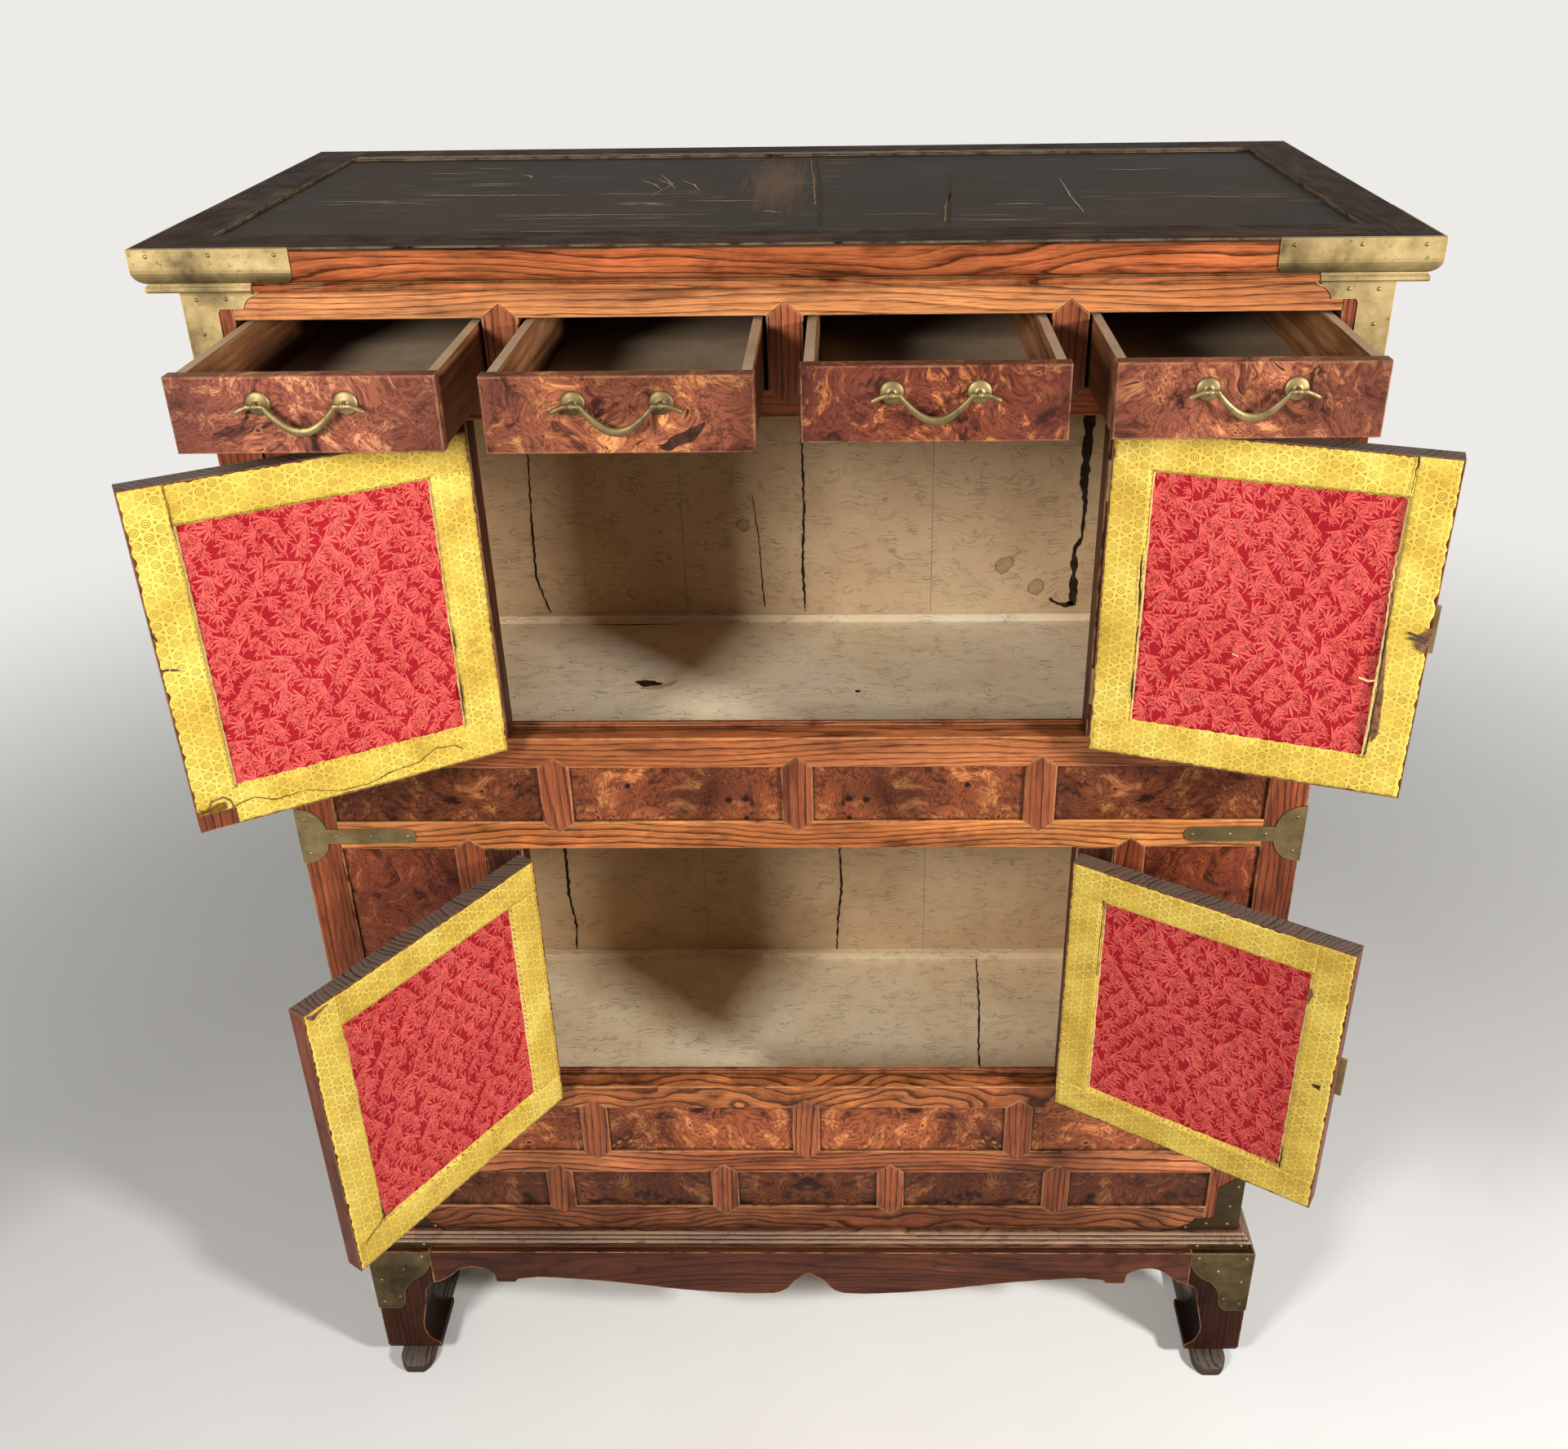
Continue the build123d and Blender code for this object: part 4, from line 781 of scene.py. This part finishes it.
def nail_points(places, normal, radius=0.0017, height=0.0010):
    """Domes at the places: rings of shrinking radius and rising height, along the given normal."""
    places = np.asarray(places, dtype=float)
    normal = np.asarray(normal, dtype=float)
    side = np.array([0.0, 0.0, 1.0])
    other = np.cross(normal, side)
    rise = np.linspace(0, np.pi / 2, 4)
    angle = np.linspace(0, 2 * np.pi, 10, endpoint=False)[:, None]
    ring = radius * np.cos(rise)
    shape = (ring * np.cos(angle))[..., None] * side + (ring * np.sin(angle))[..., None] * other
    shape = shape + (height * np.sin(rise) + 0 * angle)[..., None] * normal
    return places[:, None, None, :] + shape


def plate_nails():
    """Places of the nails on the corner plates: millimetres in from the corner edge and up, for each row on
    the faces at x and y."""
    head = [(14, 1212.5), (60, 1213), (108, 1213)]
    high = [(55, 1181.5), (34, 1176.5), (12, 1176), (12, 1150), (6, 1121)]
    strap = [(8, 709.5), (8, 673.5), (34, 691.5), (66, 691.5), (99, 691.5)]
    low = [(55, 193), (34, 198.5), (12, 198), (12, 224), (6, 252)]
    leg = [(8, 165), (58, 166), (36, 146), (10, 130), (8, 96), (26, 104)]
    fascia = [(7, 176.5), (53, 176.5)]
    rows = ((head, 0.475, -0.231), (high, 0.451, -0.211), (strap, 0.451, -0.211), (low, 0.451, -0.211),
            (leg, 0.468, -0.228), (fascia, 0.461, -0.221))
    fore, side = [], []
    for spots, x, y in rows:
        for u, z in np.array(spots) / 1000:
            fore += [(x - u, y, z), (u - x, y, z)]
            side += [(x, y + u, z), (-x, y + u, z)]
    return np.array(fore), np.array(side)


fore, side = plate_nails()
rights, lefts = side[side[:, 0] > 0], side[side[:, 0] < 0]
heads = np.concatenate([nail_points(fore, (0, -1, 0)), nail_points(rights, (1, 0, 0)),
                        nail_points(lefts, (-1, 0, 0))])
hinge_spots = [(s * x, FRONT - LEAF, z + dz) for s in (-1, 1) for x in (0.262, 0.270)
               for z in HINGE_HEIGHTS for dz in (-0.011, 0.011)]
heads = np.concatenate([heads, nail_points(hinge_spots, (0, -1, 0), 0.0014, 0.0008)])
nails = surface("plate_nails", heads, brass_handled, "carcass", round_u=True, closed=True)


# Door linings

yellow = yellow_paper()
red_ground = printed_red("red_figured_paper", "#8C101A", "#A21A23")
red_leaf = printed_red("red_leaf_print", "#D24F48", "#E0635A")
pale_rim = rough_spot("pale_paper_edge", "#B8955A", "#DCC58C", 4.5)
torn = rough_spot("bare_torn_wood", "#4A2C1B", "#8A6244", 6.2)
old_glue = rough_spot("browned_paper_joint", "#50360F", "#7C5A20", 4.2)
dark_gap = rough_spot("open_crack", "#1C1109", "#42301F", 5)
old_iron = rough_spot("rusted_iron_pin", "#2A211C", "#5A4A40", 2.5)


def border_strip(door, label, x, z, inner_side, seed, lift, ragged):
    """Paper strip on a door border: a grid over its length and width with a slight ripple. Its outer edge
    is cut unevenly; along its inner edge, on the side given as plus or minus one, it folds down over the
    step."""
    level = x[1] - x[0] > z[1] - z[0]
    u = np.linspace(0, 1, 150)[:, None]
    v = np.linspace(0, 1, 16)[None, :]
    (start, end), (low, high) = (x, z) if level else (z, x)
    near, far = (low, high) if inner_side > 0 else (high, low)
    along = start + (end - start) * u + 0 * v
    fold, drop = 0.86, 0.07
    reach = np.clip(v / fold, 0, 1)
    fall = np.clip((v - fold) / drop, 0, 1)
    tip = np.clip((v - fold - drop) / drop, 0, 1)
    across = near + (far - near) * reach + inner_side * 0.0020 * tip
    uneven = np.abs(wander(along * 30, seed, low=1, high=20)) * (1 - reach) ** 4
    across = across + inner_side * ragged * uneven
    across = across + inner_side * 0.0006 * wander(along * 40, seed + 1, low=1, high=20) * tip
    ripple = 0.00005 * wander(along * 22 + across * 10, seed + 2, low=1, high=12)
    height = lift + ripple - (DOOR_STEP - PAPER) * fall
    px, pz = (along, across) if level else (across, along)
    uv = points_of(px + 0.37 * seed, pz + 0.11 * seed)
    piece = surface(f"{door}_{label}", on_door(door, px, pz, height), yellow, door + "_door", uv=uv,
                    facing=door_facing(door))
    return thicken(piece, PAPER)


def lobes(foot, heading, reach, bend, width):
    """Pointed lobes of a leaf: each centre line leaves its foot at its heading and turns evenly by its bend
    over its reach, with a half width that swells to its share of the reach and closes. Gives both
    edges at five steps."""
    turn = heading[..., None] + bend[..., None] * np.linspace(0, 1, 5)
    step = points_of(np.cos(turn), np.sin(turn)) * (reach / 4)[..., None, None]
    line = foot[..., None, :] + np.cumsum(step, axis=-2) - step[..., :1, :]
    half = (width * reach)[..., None] * np.array([0.12, 0.62, 1.0, 0.86, 0.04])
    normal = points_of(-np.sin(turn), np.cos(turn))
    return np.stack([line - half[..., None] * normal, line + half[..., None] * normal], axis=-2)


def leaf_rows(width, height, pitch, shift, size, rng):
    """Leaves on staggered rows over a field: each is a fan of seven lobes on a bent stem with three
    leaflets, and the fans lean four ways at random. Gives the corners of all lobes."""
    pitch_x, pitch_z = pitch
    columns, rows = np.arange(-1, int(width / pitch_x) + 3), np.arange(-1, int(height / pitch_z) + 3)
    gx, gz = np.meshgrid(columns, rows, indexing="ij")
    foot = points_of((gx + shift + 0.5 * (gz % 2)) * pitch_x, (gz + shift) * pitch_z).reshape(-1, 2)
    count = len(foot)
    lean = np.array([-0.5, -2.4, -1.4, 0.3])[rng.integers(0, 4, count)] + rng.uniform(-0.3, 0.3, count)
    size = size * rng.uniform(0.9, 1.15, count)
    hand = np.where(lean > -1.4, -1.0, 1.0)
    spread = np.linspace(-1.15, 1.15, 7)
    share = np.array([0.72, 0.90, 0.98, 1.0, 0.98, 0.90, 0.72])
    fan = lobes(np.repeat(foot[:, None], 7, axis=1), lean[:, None] + spread, size[:, None] * share,
                np.tile(0.55 * spread, (count, 1)), np.full((count, 7), 0.080))
    back = lean + np.pi
    stem = lobes(foot, back, 0.95 * size, 1.1 * hand, np.full(count, 0.045))[:, None]
    middle, tip = stem[:, 0, 2].mean(axis=1), stem[:, 0, 3].mean(axis=1)
    leaflets = lobes(np.stack([middle, middle, tip], axis=1),
                     (back + 0.5 * hand)[:, None] + np.array([0.9, -0.9, -0.5]),
                     size[:, None] * np.array([0.46, 0.46, 0.40]), np.tile([-0.9, 0.9, 0.6], (count, 1)),
                     np.full((count, 3), 0.14))
    return np.concatenate([fan, stem, leaflets], axis=1).reshape(-1, 5, 2, 2)


def leaf_print(width, height, seed):
    """All-over leaf print, cut at the field's edges: rows of larger leaves with rows of smaller ones
    between."""
    rng = np.random.default_rng(seed)
    pitch, least = (0.0185, 0.0125), 0.0004
    points = np.concatenate([leaf_rows(width, height, pitch, 0.0, 0.0138, rng),
                             leaf_rows(width, height, pitch, 0.5, 0.0078, rng)])
    px, pz = np.clip(points[..., 0], 0.0, width), np.clip(points[..., 1], 0.0, height)
    shown = (np.ptp(px, axis=(1, 2)) > least) & (np.ptp(pz, axis=(1, 2)) > least)
    return px[shown], pz[shown]


def rim_line(door, x, z, seed):
    """Pale raw edge of paper round the red field: a closed loop of four mitred runs, uneven in width."""
    run = np.linspace(0, 4, 240)
    inset = np.clip(0.0005 + 0.0006 * wander(run * 5, seed, low=1, high=12), 0.0001, 0.003)[:, None]
    corners = np.array([(x[0], z[0]), (x[1], z[0]), (x[1], z[1]), (x[0], z[1]), (x[0], z[0])])
    outer = points_of(*(np.interp(run, np.arange(5), corners[:, k]) for k in (0, 1)))
    middle = np.array([(x[0] + x[1]) / 2, (z[0] + z[1]) / 2])
    half = np.array([(x[1] - x[0]) / 2, (z[1] - z[0]) / 2])
    inner = middle + (outer - middle) * (half - 0.0012 - inset) / half
    points = np.stack([outer, inner], axis=1)
    points = on_door(door, points[..., 0], points[..., 1], -DOOR_STEP + RIM_LIFT)
    piece = surface(door + "_paper_edge", points, pale_rim, door + "_door", facing=door_facing(door))
    return thicken(piece, PAPER)


def door_mark(door, label, places, material, seed, lift):
    """Tear, joint or pin on a door's lined side; the places are in millimetres from its hinge edge and
    foot."""
    return ribbon(f"{door}_{label}", places, lambda a, b: on_door(door, a, b, lift), door_facing(door),
                  door + "_door", material, seed)


for k, door in enumerate(DOORS):
    border, wide, tall, skirt = DOOR_BORDER, DOOR_WIDTH, DOOR_HEIGHT, 0.0008
    margin = 0.002
    foot, end = (0.015, 0.029) if door == "upper_left" else (skirt, 0.003)
    strips = (
        ("hinge", (skirt, border), (skirt, tall - skirt), 1, UNDER_STRIP, 0.0010),
        ("free", (wide - border, wide - skirt), (foot, tall - skirt), -1, UNDER_STRIP, 0.0016),
        ("foot", (skirt + margin, wide - end), (skirt, border), 1, OVER_STRIP, 0.0012),
        ("head", (skirt + margin, wide - 0.031), (tall - border, tall - skirt), -1, OVER_STRIP, 0.0009),
    )
    for n, (label, x, z, inner_side, lift, ragged) in enumerate(strips, 1):
        border_strip(door, label + "_border", x, z, inner_side, 10 * k + n, lift, ragged)
    fx, fz = (border, wide - border), (border, tall - border)
    u, v = np.meshgrid(np.linspace(*fx, 36), np.linspace(*fz, 44), indexing="ij")
    h = -DOOR_STEP + RED_LIFT + 0.00006 * wander(u * 30 + v * 12, 40 + k, low=1, high=12)
    field = surface(door + "_red_field", on_door(door, u, v, h), red_ground, door + "_door",
                    uv=points_of(u, v), facing=door_facing(door))
    thicken(field, PAPER)
    px, pz = leaf_print(fx[1] - fx[0] - 2 * margin, fz[1] - fz[0] - 2 * margin, 70 + k)
    px, pz = px + fx[0] + margin, pz + fz[0] + margin
    surface(door + "_leaf_print", on_door(door, px, pz, -DOOR_STEP + PRINT_LIFT), red_leaf, door + "_door",
            uv=points_of(px, pz), facing=door_facing(door), smooth=False)
    rim_line(door, fx, fz, 90 + k)

door_marks = {
    "upper_left": (
        ("foot_joint", old_glue, [(221, 17, .8), (205, 20, .8), (190, 13, 1), (165, 14, .6), (140, 5, .8),
         (115, 5, .6), (98, 10, 1), (75, 12, .8), (60, 21, .8), (43, 19, .9), (38, 13, .6)]),
        ("corner_tear", torn, [(247, 21, .8), (240, 18, 1.2), (236, 26, 1), (226, 27, 1.4), (222, 23, 1),
         (221, 14, .8)]),
        ("corner_stain", old_glue, [(247, 17.5, 4), (236, 18, 7), (226, 20, 5)]),
        ("pin_leg_1", old_iron, [(247.5, 144.4, 1.6), (242.5, 143.4, 1.8)]),
        ("pin_leg_2", old_iron, [(241, 143, 1.4), (236, 142, .8)]),
        ("hinge_nick_1", dark_gap, [(31.5, 128, .5), (32, 112, 1.4), (32, 104, .5)]),
        ("hinge_nick_2", dark_gap, [(31.8, 84, .4), (32.4, 66, 1.5), (33, 44, .8)]),
        ("head_joint", old_glue, [(217.2, 284, .5), (217, 262, .6), (217, 254, 1.3), (217, 250, .5)]),
        ("edge_nick", dark_gap, [(247, 175, 1), (246, 168, 1.6)]),
    ),
    "upper_right": (
        ("hinge_tear_1", dark_gap, [(29.5, 184, .6), (30, 168, 1.8), (31, 150, 1.6), (32, 128, .6)]),
        ("hinge_tear_2", dark_gap, [(32, 122, .5), (31.5, 108, 1), (32, 96, .4)]),
        ("hinge_tear_3", dark_gap, [(32, 82, .5), (32, 68, 1.9), (32.5, 52, .7)]),
        ("hinge_lip", pale_rim, [(32.5, 190, .8), (33.5, 150, 1.5), (33.5, 100, 1.1), (33.5, 50, 1)]),
        ("free_tear_1", torn, [(214.5, 178, .5), (216, 168, 2.4), (216.5, 152, .8), (217, 138, 1.6)]),
        ("free_tear_2", torn, [(217, 138, 1.2), (219, 115, 2.2), (221, 84, 4.4), (221.5, 56, 5.2),
         (220, 48, 1)]),
        ("free_gap", dark_gap, [(216, 150, .5), (217.5, 124, 1.2), (218, 92, .8), (218, 56, 1),
         (217, 36, .8)]),
        ("free_lip", pale_rim, [(214, 210, .6), (214.5, 178, 1.2), (215.5, 150, .9), (216, 110, 1.3),
         (216.5, 60, 1.4), (215, 34, 1)]),
        ("field_tear", pale_rim, [(203, 103, 1.3), (210, 101, 1.6), (216, 103, 1)]),
        ("field_fleck", pale_rim, [(107, 108, .9), (112, 107, 1.1)]),
        ("head_slit", dark_gap, [(217, 284.5, .9), (216.6, 268, .9), (216.2, 256, .4)]),
        ("pin_patch", torn, [(247.4, 152, 3), (245, 145, 7), (243, 137, 8), (246, 131, 2)]),
        ("pin_leg_1", old_iron, [(232, 146, 1.6), (242, 143.5, 2), (247, 142, 2)]),
        ("pin_leg_2", old_iron, [(233, 142, 1.2), (240, 141, 1.8), (246, 139, 2)]),
    ),
    "lower_left": (
        ("corner_joint", old_glue, [(216, 45, .5), (218, 37, 1), (223, 33, .9), (231, 31, 1.1),
         (240, 26, .8)]),
        ("head_chip", torn, [(246, 283, 2), (240, 279, 3.4), (233, 281, 2.6), (226, 283, 1)]),
        ("inner_gap", dark_gap, [(216.8, 62, .5), (217, 44, 1.4), (216.5, 34, .8)]),
    ),
    "lower_right": (
        ("edge_tear", dark_gap, [(231, 141, .6), (235, 140, 3.6), (238.5, 139.5, 6)]),
        ("field_chip", torn, [(215.5, 239, 1), (217.5, 233, 5.4), (217, 227, 3), (216, 222, .6)]),
        ("hinge_gap", dark_gap, [(31.5, 256, 1.6), (31.8, 236, .8), (31.4, 205, 1), (31.6, 172, .5)]),
        ("free_joint", dark_gap, [(216.8, 60, .6), (217.5, 46, 1.2), (217, 34, .8)]),
    ),
}
marks = [(door, *row) for door, rows in door_marks.items() for row in rows]
for n, (door, label, material, places) in enumerate(marks):
    lift = 0.0012 if material in (old_iron, dark_gap) else 0.0010
    mark = door_mark(door, label, places, material, 200 + 3 * n, lift)
    if material is old_iron:
        thicken(mark, 0.0010)


# Cracks in the linings, wear on the top

scuffed = rough_spot("scuffed_lacquer", "#9A866E", "#E2D4BC", 3.8)
raw_edge = rough_spot("raw_joint_edge", "#7A5A3C", "#B08E66", 8.3)
back_cracks = (
    [(-312, 1090, 1), (-306, 980, 1.6), (-300, 900, 1.2), (-304, 830, 2), (-306, 760, 2.6),
     (-300, 736, 1.8), (-294, 716, 2)],
    [(-4, 1090, 2), (-4, 920, 2.2), (-3, 840, 2.2), (-6, 775, 3), (-4, 716, 1.6)],
    [(303, 1090, 10), (302, 915, 11), (301, 870, 9), (304, 845, 4), (303, 805, 3), (296, 790, 6),
     (297, 760, 7), (298, 735, 9), (297, 722, 10)],
    [(299, 724, 6), (288, 722, 5), (277, 726, 3), (272, 731, 2.5)],
    [(-310, 690, 2), (-309, 400, 3), (-311, 320, 3.6), (-306, 270, 2.4), (-309, 232, 1.8)],
    [(30, 690, 2), (32, 390, 2.2), (34, 330, 3), (29, 280, 2.4), (27, 232, 1.6)],
    [(-60, 860, .6), (-53, 800, 1.2), (-52, 750, 1.4), (-50, 722, 1)],
)
for n, places in enumerate(back_cracks):
    ribbon(f"back_crack_{n + 1}", places, on_upright(BACK_FACE - WALL_CLEAR), (0, -1, 0), "carcass",
           dark_gap, 300 + 2 * n, 0.0006)
floor_marks = (
    ("lower_floor_crack", LOWER_FLOOR, dark_gap, 360, 0.0006,
     [(206, 189, 1.6), (203, 100, 2.2), (196, 20, 2), (190, -180, 1.6)]),
    ("upper_floor_split", UPPER_FLOOR, dark_gap, 362, 0.0003,
     [(-245, 186, 1), (-200, 185, 2.4), (-140, 187, .6)]),
    ("knot_hole", UPPER_FLOOR, dark_gap, 364, 0.0008,
     [(-178, 52, 4), (-170, 47, 13), (-158, 44, 12), (-150, 46, 4)]),
    ("knot_lip", UPPER_FLOOR + CLEAR, pale_rim, 366, 0.0008,
     [(-170, 36, 4), (-156, 37, 8), (-141, 44, 7), (-136, 52, 3)]),
    ("floor_speck", UPPER_FLOOR, dark_gap, 368, 0.0002, [(53, 30, 3), (56, 26, 4)]),
)
for name, level, material, seed, jitter, places in floor_marks:
    ribbon(name, places, on_level(level + CLEAR), (0, 0, 1), "carcass", material, seed, jitter)

for n, (y, width) in enumerate(((167.2, 4), (172, 1.6))):
    places = [(-424, y, width), (-150, y, 0.8 * width), (100, y, width), (424, y, 0.7 * width)]
    ribbon(f"worn_fillet_{n + 1}", places, on_level(TOP_FACE + FILLET_RISE + CLEAR), (0, 0, 1), "carcass",
           scuffed, 480 + 2 * n, 0.0003)
# The first four are two open joints, each with its raw edge; the rest are scuffs
top_marks = (
    [(17, 160, 1), (22, 60, 2.2), (26, -60, 3), (26, -158, 1.6)],
    [(12, 150, .8), (18, 30, 1.6), (21, -80, 1.4)],
    [(138, 55, .6), (134, -20, 2.2), (129, -90, 3), (125, -160, 1.4)],
    [(134, -30, .6), (126, -90, 1.6), (122, -150, 1.2)],
    [(232, 30, .6), (231, -50, 1), (232, -120, .8)],
    [(-315, -20, .6), (-250, -22, 2.6), (-190, -24, .7)],
    [(-170, -20, .4), (-120, -24, 1.6), (-75, -22, .4)],
    [(-140, -68, .6), (-115, -67, 3.4), (-95, -70, .6)],
    [(-85, -55, .5), (-50, -58, 2), (-20, -56, .5)],
    [(-350, 90, .4), (-310, 88, 1.8), (-280, 92, .4)],
    [(-120, 70, .4), (-105, 20, 1.6), (-118, -30, .4)],
    [(60, -120, .4), (100, -118, 1), (115, -121, .4)],
    [(300, -60, .4), (330, -58, 1.8), (372, -64, .4)],
    [(-20, -100, 1), (-12, -105, 2), (-4, -110, 1)],
    [(-135, 45, .6), (-120, 20, 1.6), (-112, -5, .6)],
    [(-122, 50, .6), (-108, 24, 1.4), (-100, 0, .6)],
    [(-98, 40, .6), (-86, 18, 1.4), (-80, -4, .6)],
    [(-300, 118, .6), (-285, 112, 2.2), (-262, 114, .6)],
    [(-250, 80, .8), (-240, 72, 2.4), (-236, 62, .8)],
    [(-360, -52, .6), (-340, -50, 2.4), (-300, -54, .6)],
    [(165, -85, .6), (188, -82, 2.2), (205, -86, .6)],
    [(270, 75, .6), (300, 70, 2), (338, 74, .6)],
    [(-230, -112, .6), (-150, -110, 1.6), (-60, -114, .6)],
)
for n, places in enumerate(top_marks):
    material = (dark_gap, raw_edge)[n % 2] if n < 4 else scuffed
    ribbon(f"top_mark_{n + 1}", places, on_level(TOP_FACE + CLEAR), (0, 0, 1), "carcass", material,
           400 + 2 * n, 0.0006)


# Camera, light and stage

def stood(side_way, up_way, back_way, place):
    """Matrix that stands a camera or a lamp at a place, its three axes along the given ways."""
    return Matrix([*points_of(side_way, up_way, back_way, place).tolist(), (0, 0, 0, 1)])


camera_data = bpy.data.cameras.new("view_of_the_photo")
camera_data.sensor_width = 36.0
camera_data.lens = 33.572
camera_data.shift_x = -0.02749
camera_data.shift_y = -0.0418
camera_data.clip_start = 0.05
camera = in_scene("view_of_the_photo", camera_data)
camera.matrix_world = stood(
    (0.99982556, 0.01358914, -0.01281351), (0.00498977, 0.46676545, 0.88436707),
    (0.01799869, -0.88427674, 0.46661622), (0.0503343, -1.2960762, 1.4428155))
bpy.context.scene.camera = camera


def soft_lamp(name, place, aim, size, power):
    """Square soft box at a place, turned to its aim."""
    data = bpy.data.lights.new(name, "AREA")
    data.size = size
    data.energy = power
    back_way = np.subtract(place, aim)
    back_way /= np.linalg.norm(back_way)
    side_way = np.cross((0.0, 0.0, 1.0), back_way)
    side_way /= np.linalg.norm(side_way)
    in_scene(name, data).matrix_world = stood(side_way, np.cross(back_way, side_way), back_way, place)


chest_middle = (0.0, 0.0, 0.70)
soft_lamp("left_soft_box", (-0.92, -1.55, 1.60), chest_middle, 0.34, 31.0)
soft_lamp("right_soft_box", (1.54, -1.20, 1.42), chest_middle, 0.22, 48.0)

SURROUND = "#EDEBE7"
world = bpy.data.worlds.new("pale_studio")
bpy.context.scene.world = world
world.use_nodes = True
world.node_tree.nodes.clear()
add = adder(world.node_tree)
fill = add("Background", "#F2F0EC", 0.17)
shown = add("Background", SURROUND, 1)
add("OutputWorld", add("MixShader", looking_rays(add), fill, shown))


def studio_floor():
    """Pale matt studio floor: a wide sheet, clouded very slightly; far from the object it shows the same
    pale tone as the surround."""
    made, add, place = new_material("matt_studio_floor")
    cloud = add("TexNoise", place, per(333), 4)
    colour = add("ValToRGB", cloud, stops=[(0.3, "#DCDAD6"), (0.7, "#E2E0DC")])
    gloss = add("MapRange", cloud, 0, 1, 0.8, 0.9)
    connect(made, add, colour, gloss)
    flat = add("VectorMath MULTIPLY", place, (1, 1, 0))
    far = add("MapRange", add("VectorMath LENGTH", flat), 0.8, 2.8, interpolation_type="SMOOTHSTEP")
    seen = add("Math MULTIPLY", looking_rays(add), far)
    glow = add("Emission", SURROUND, 1)
    tree = made.node_tree
    blend = add("MixShader", seen, tree.nodes["Principled BSDF"].outputs[0], glow)
    tree.links.new(blend, tree.nodes["Material Output"].inputs[0])
    return made


floor_mesh = bpy.data.meshes.new("studio_floor")
reach = 30.0
corners = [(-reach, -reach, 0), (reach, -reach, 0), (reach, reach, 0), (-reach, reach, 0)]
floor_mesh.from_pydata(corners, [], [(0, 1, 2, 3)])
floor_mesh.materials.append(studio_floor())
floor = in_scene("studio_floor", floor_mesh)

bpy.context.scene.view_settings.view_transform = "Standard"
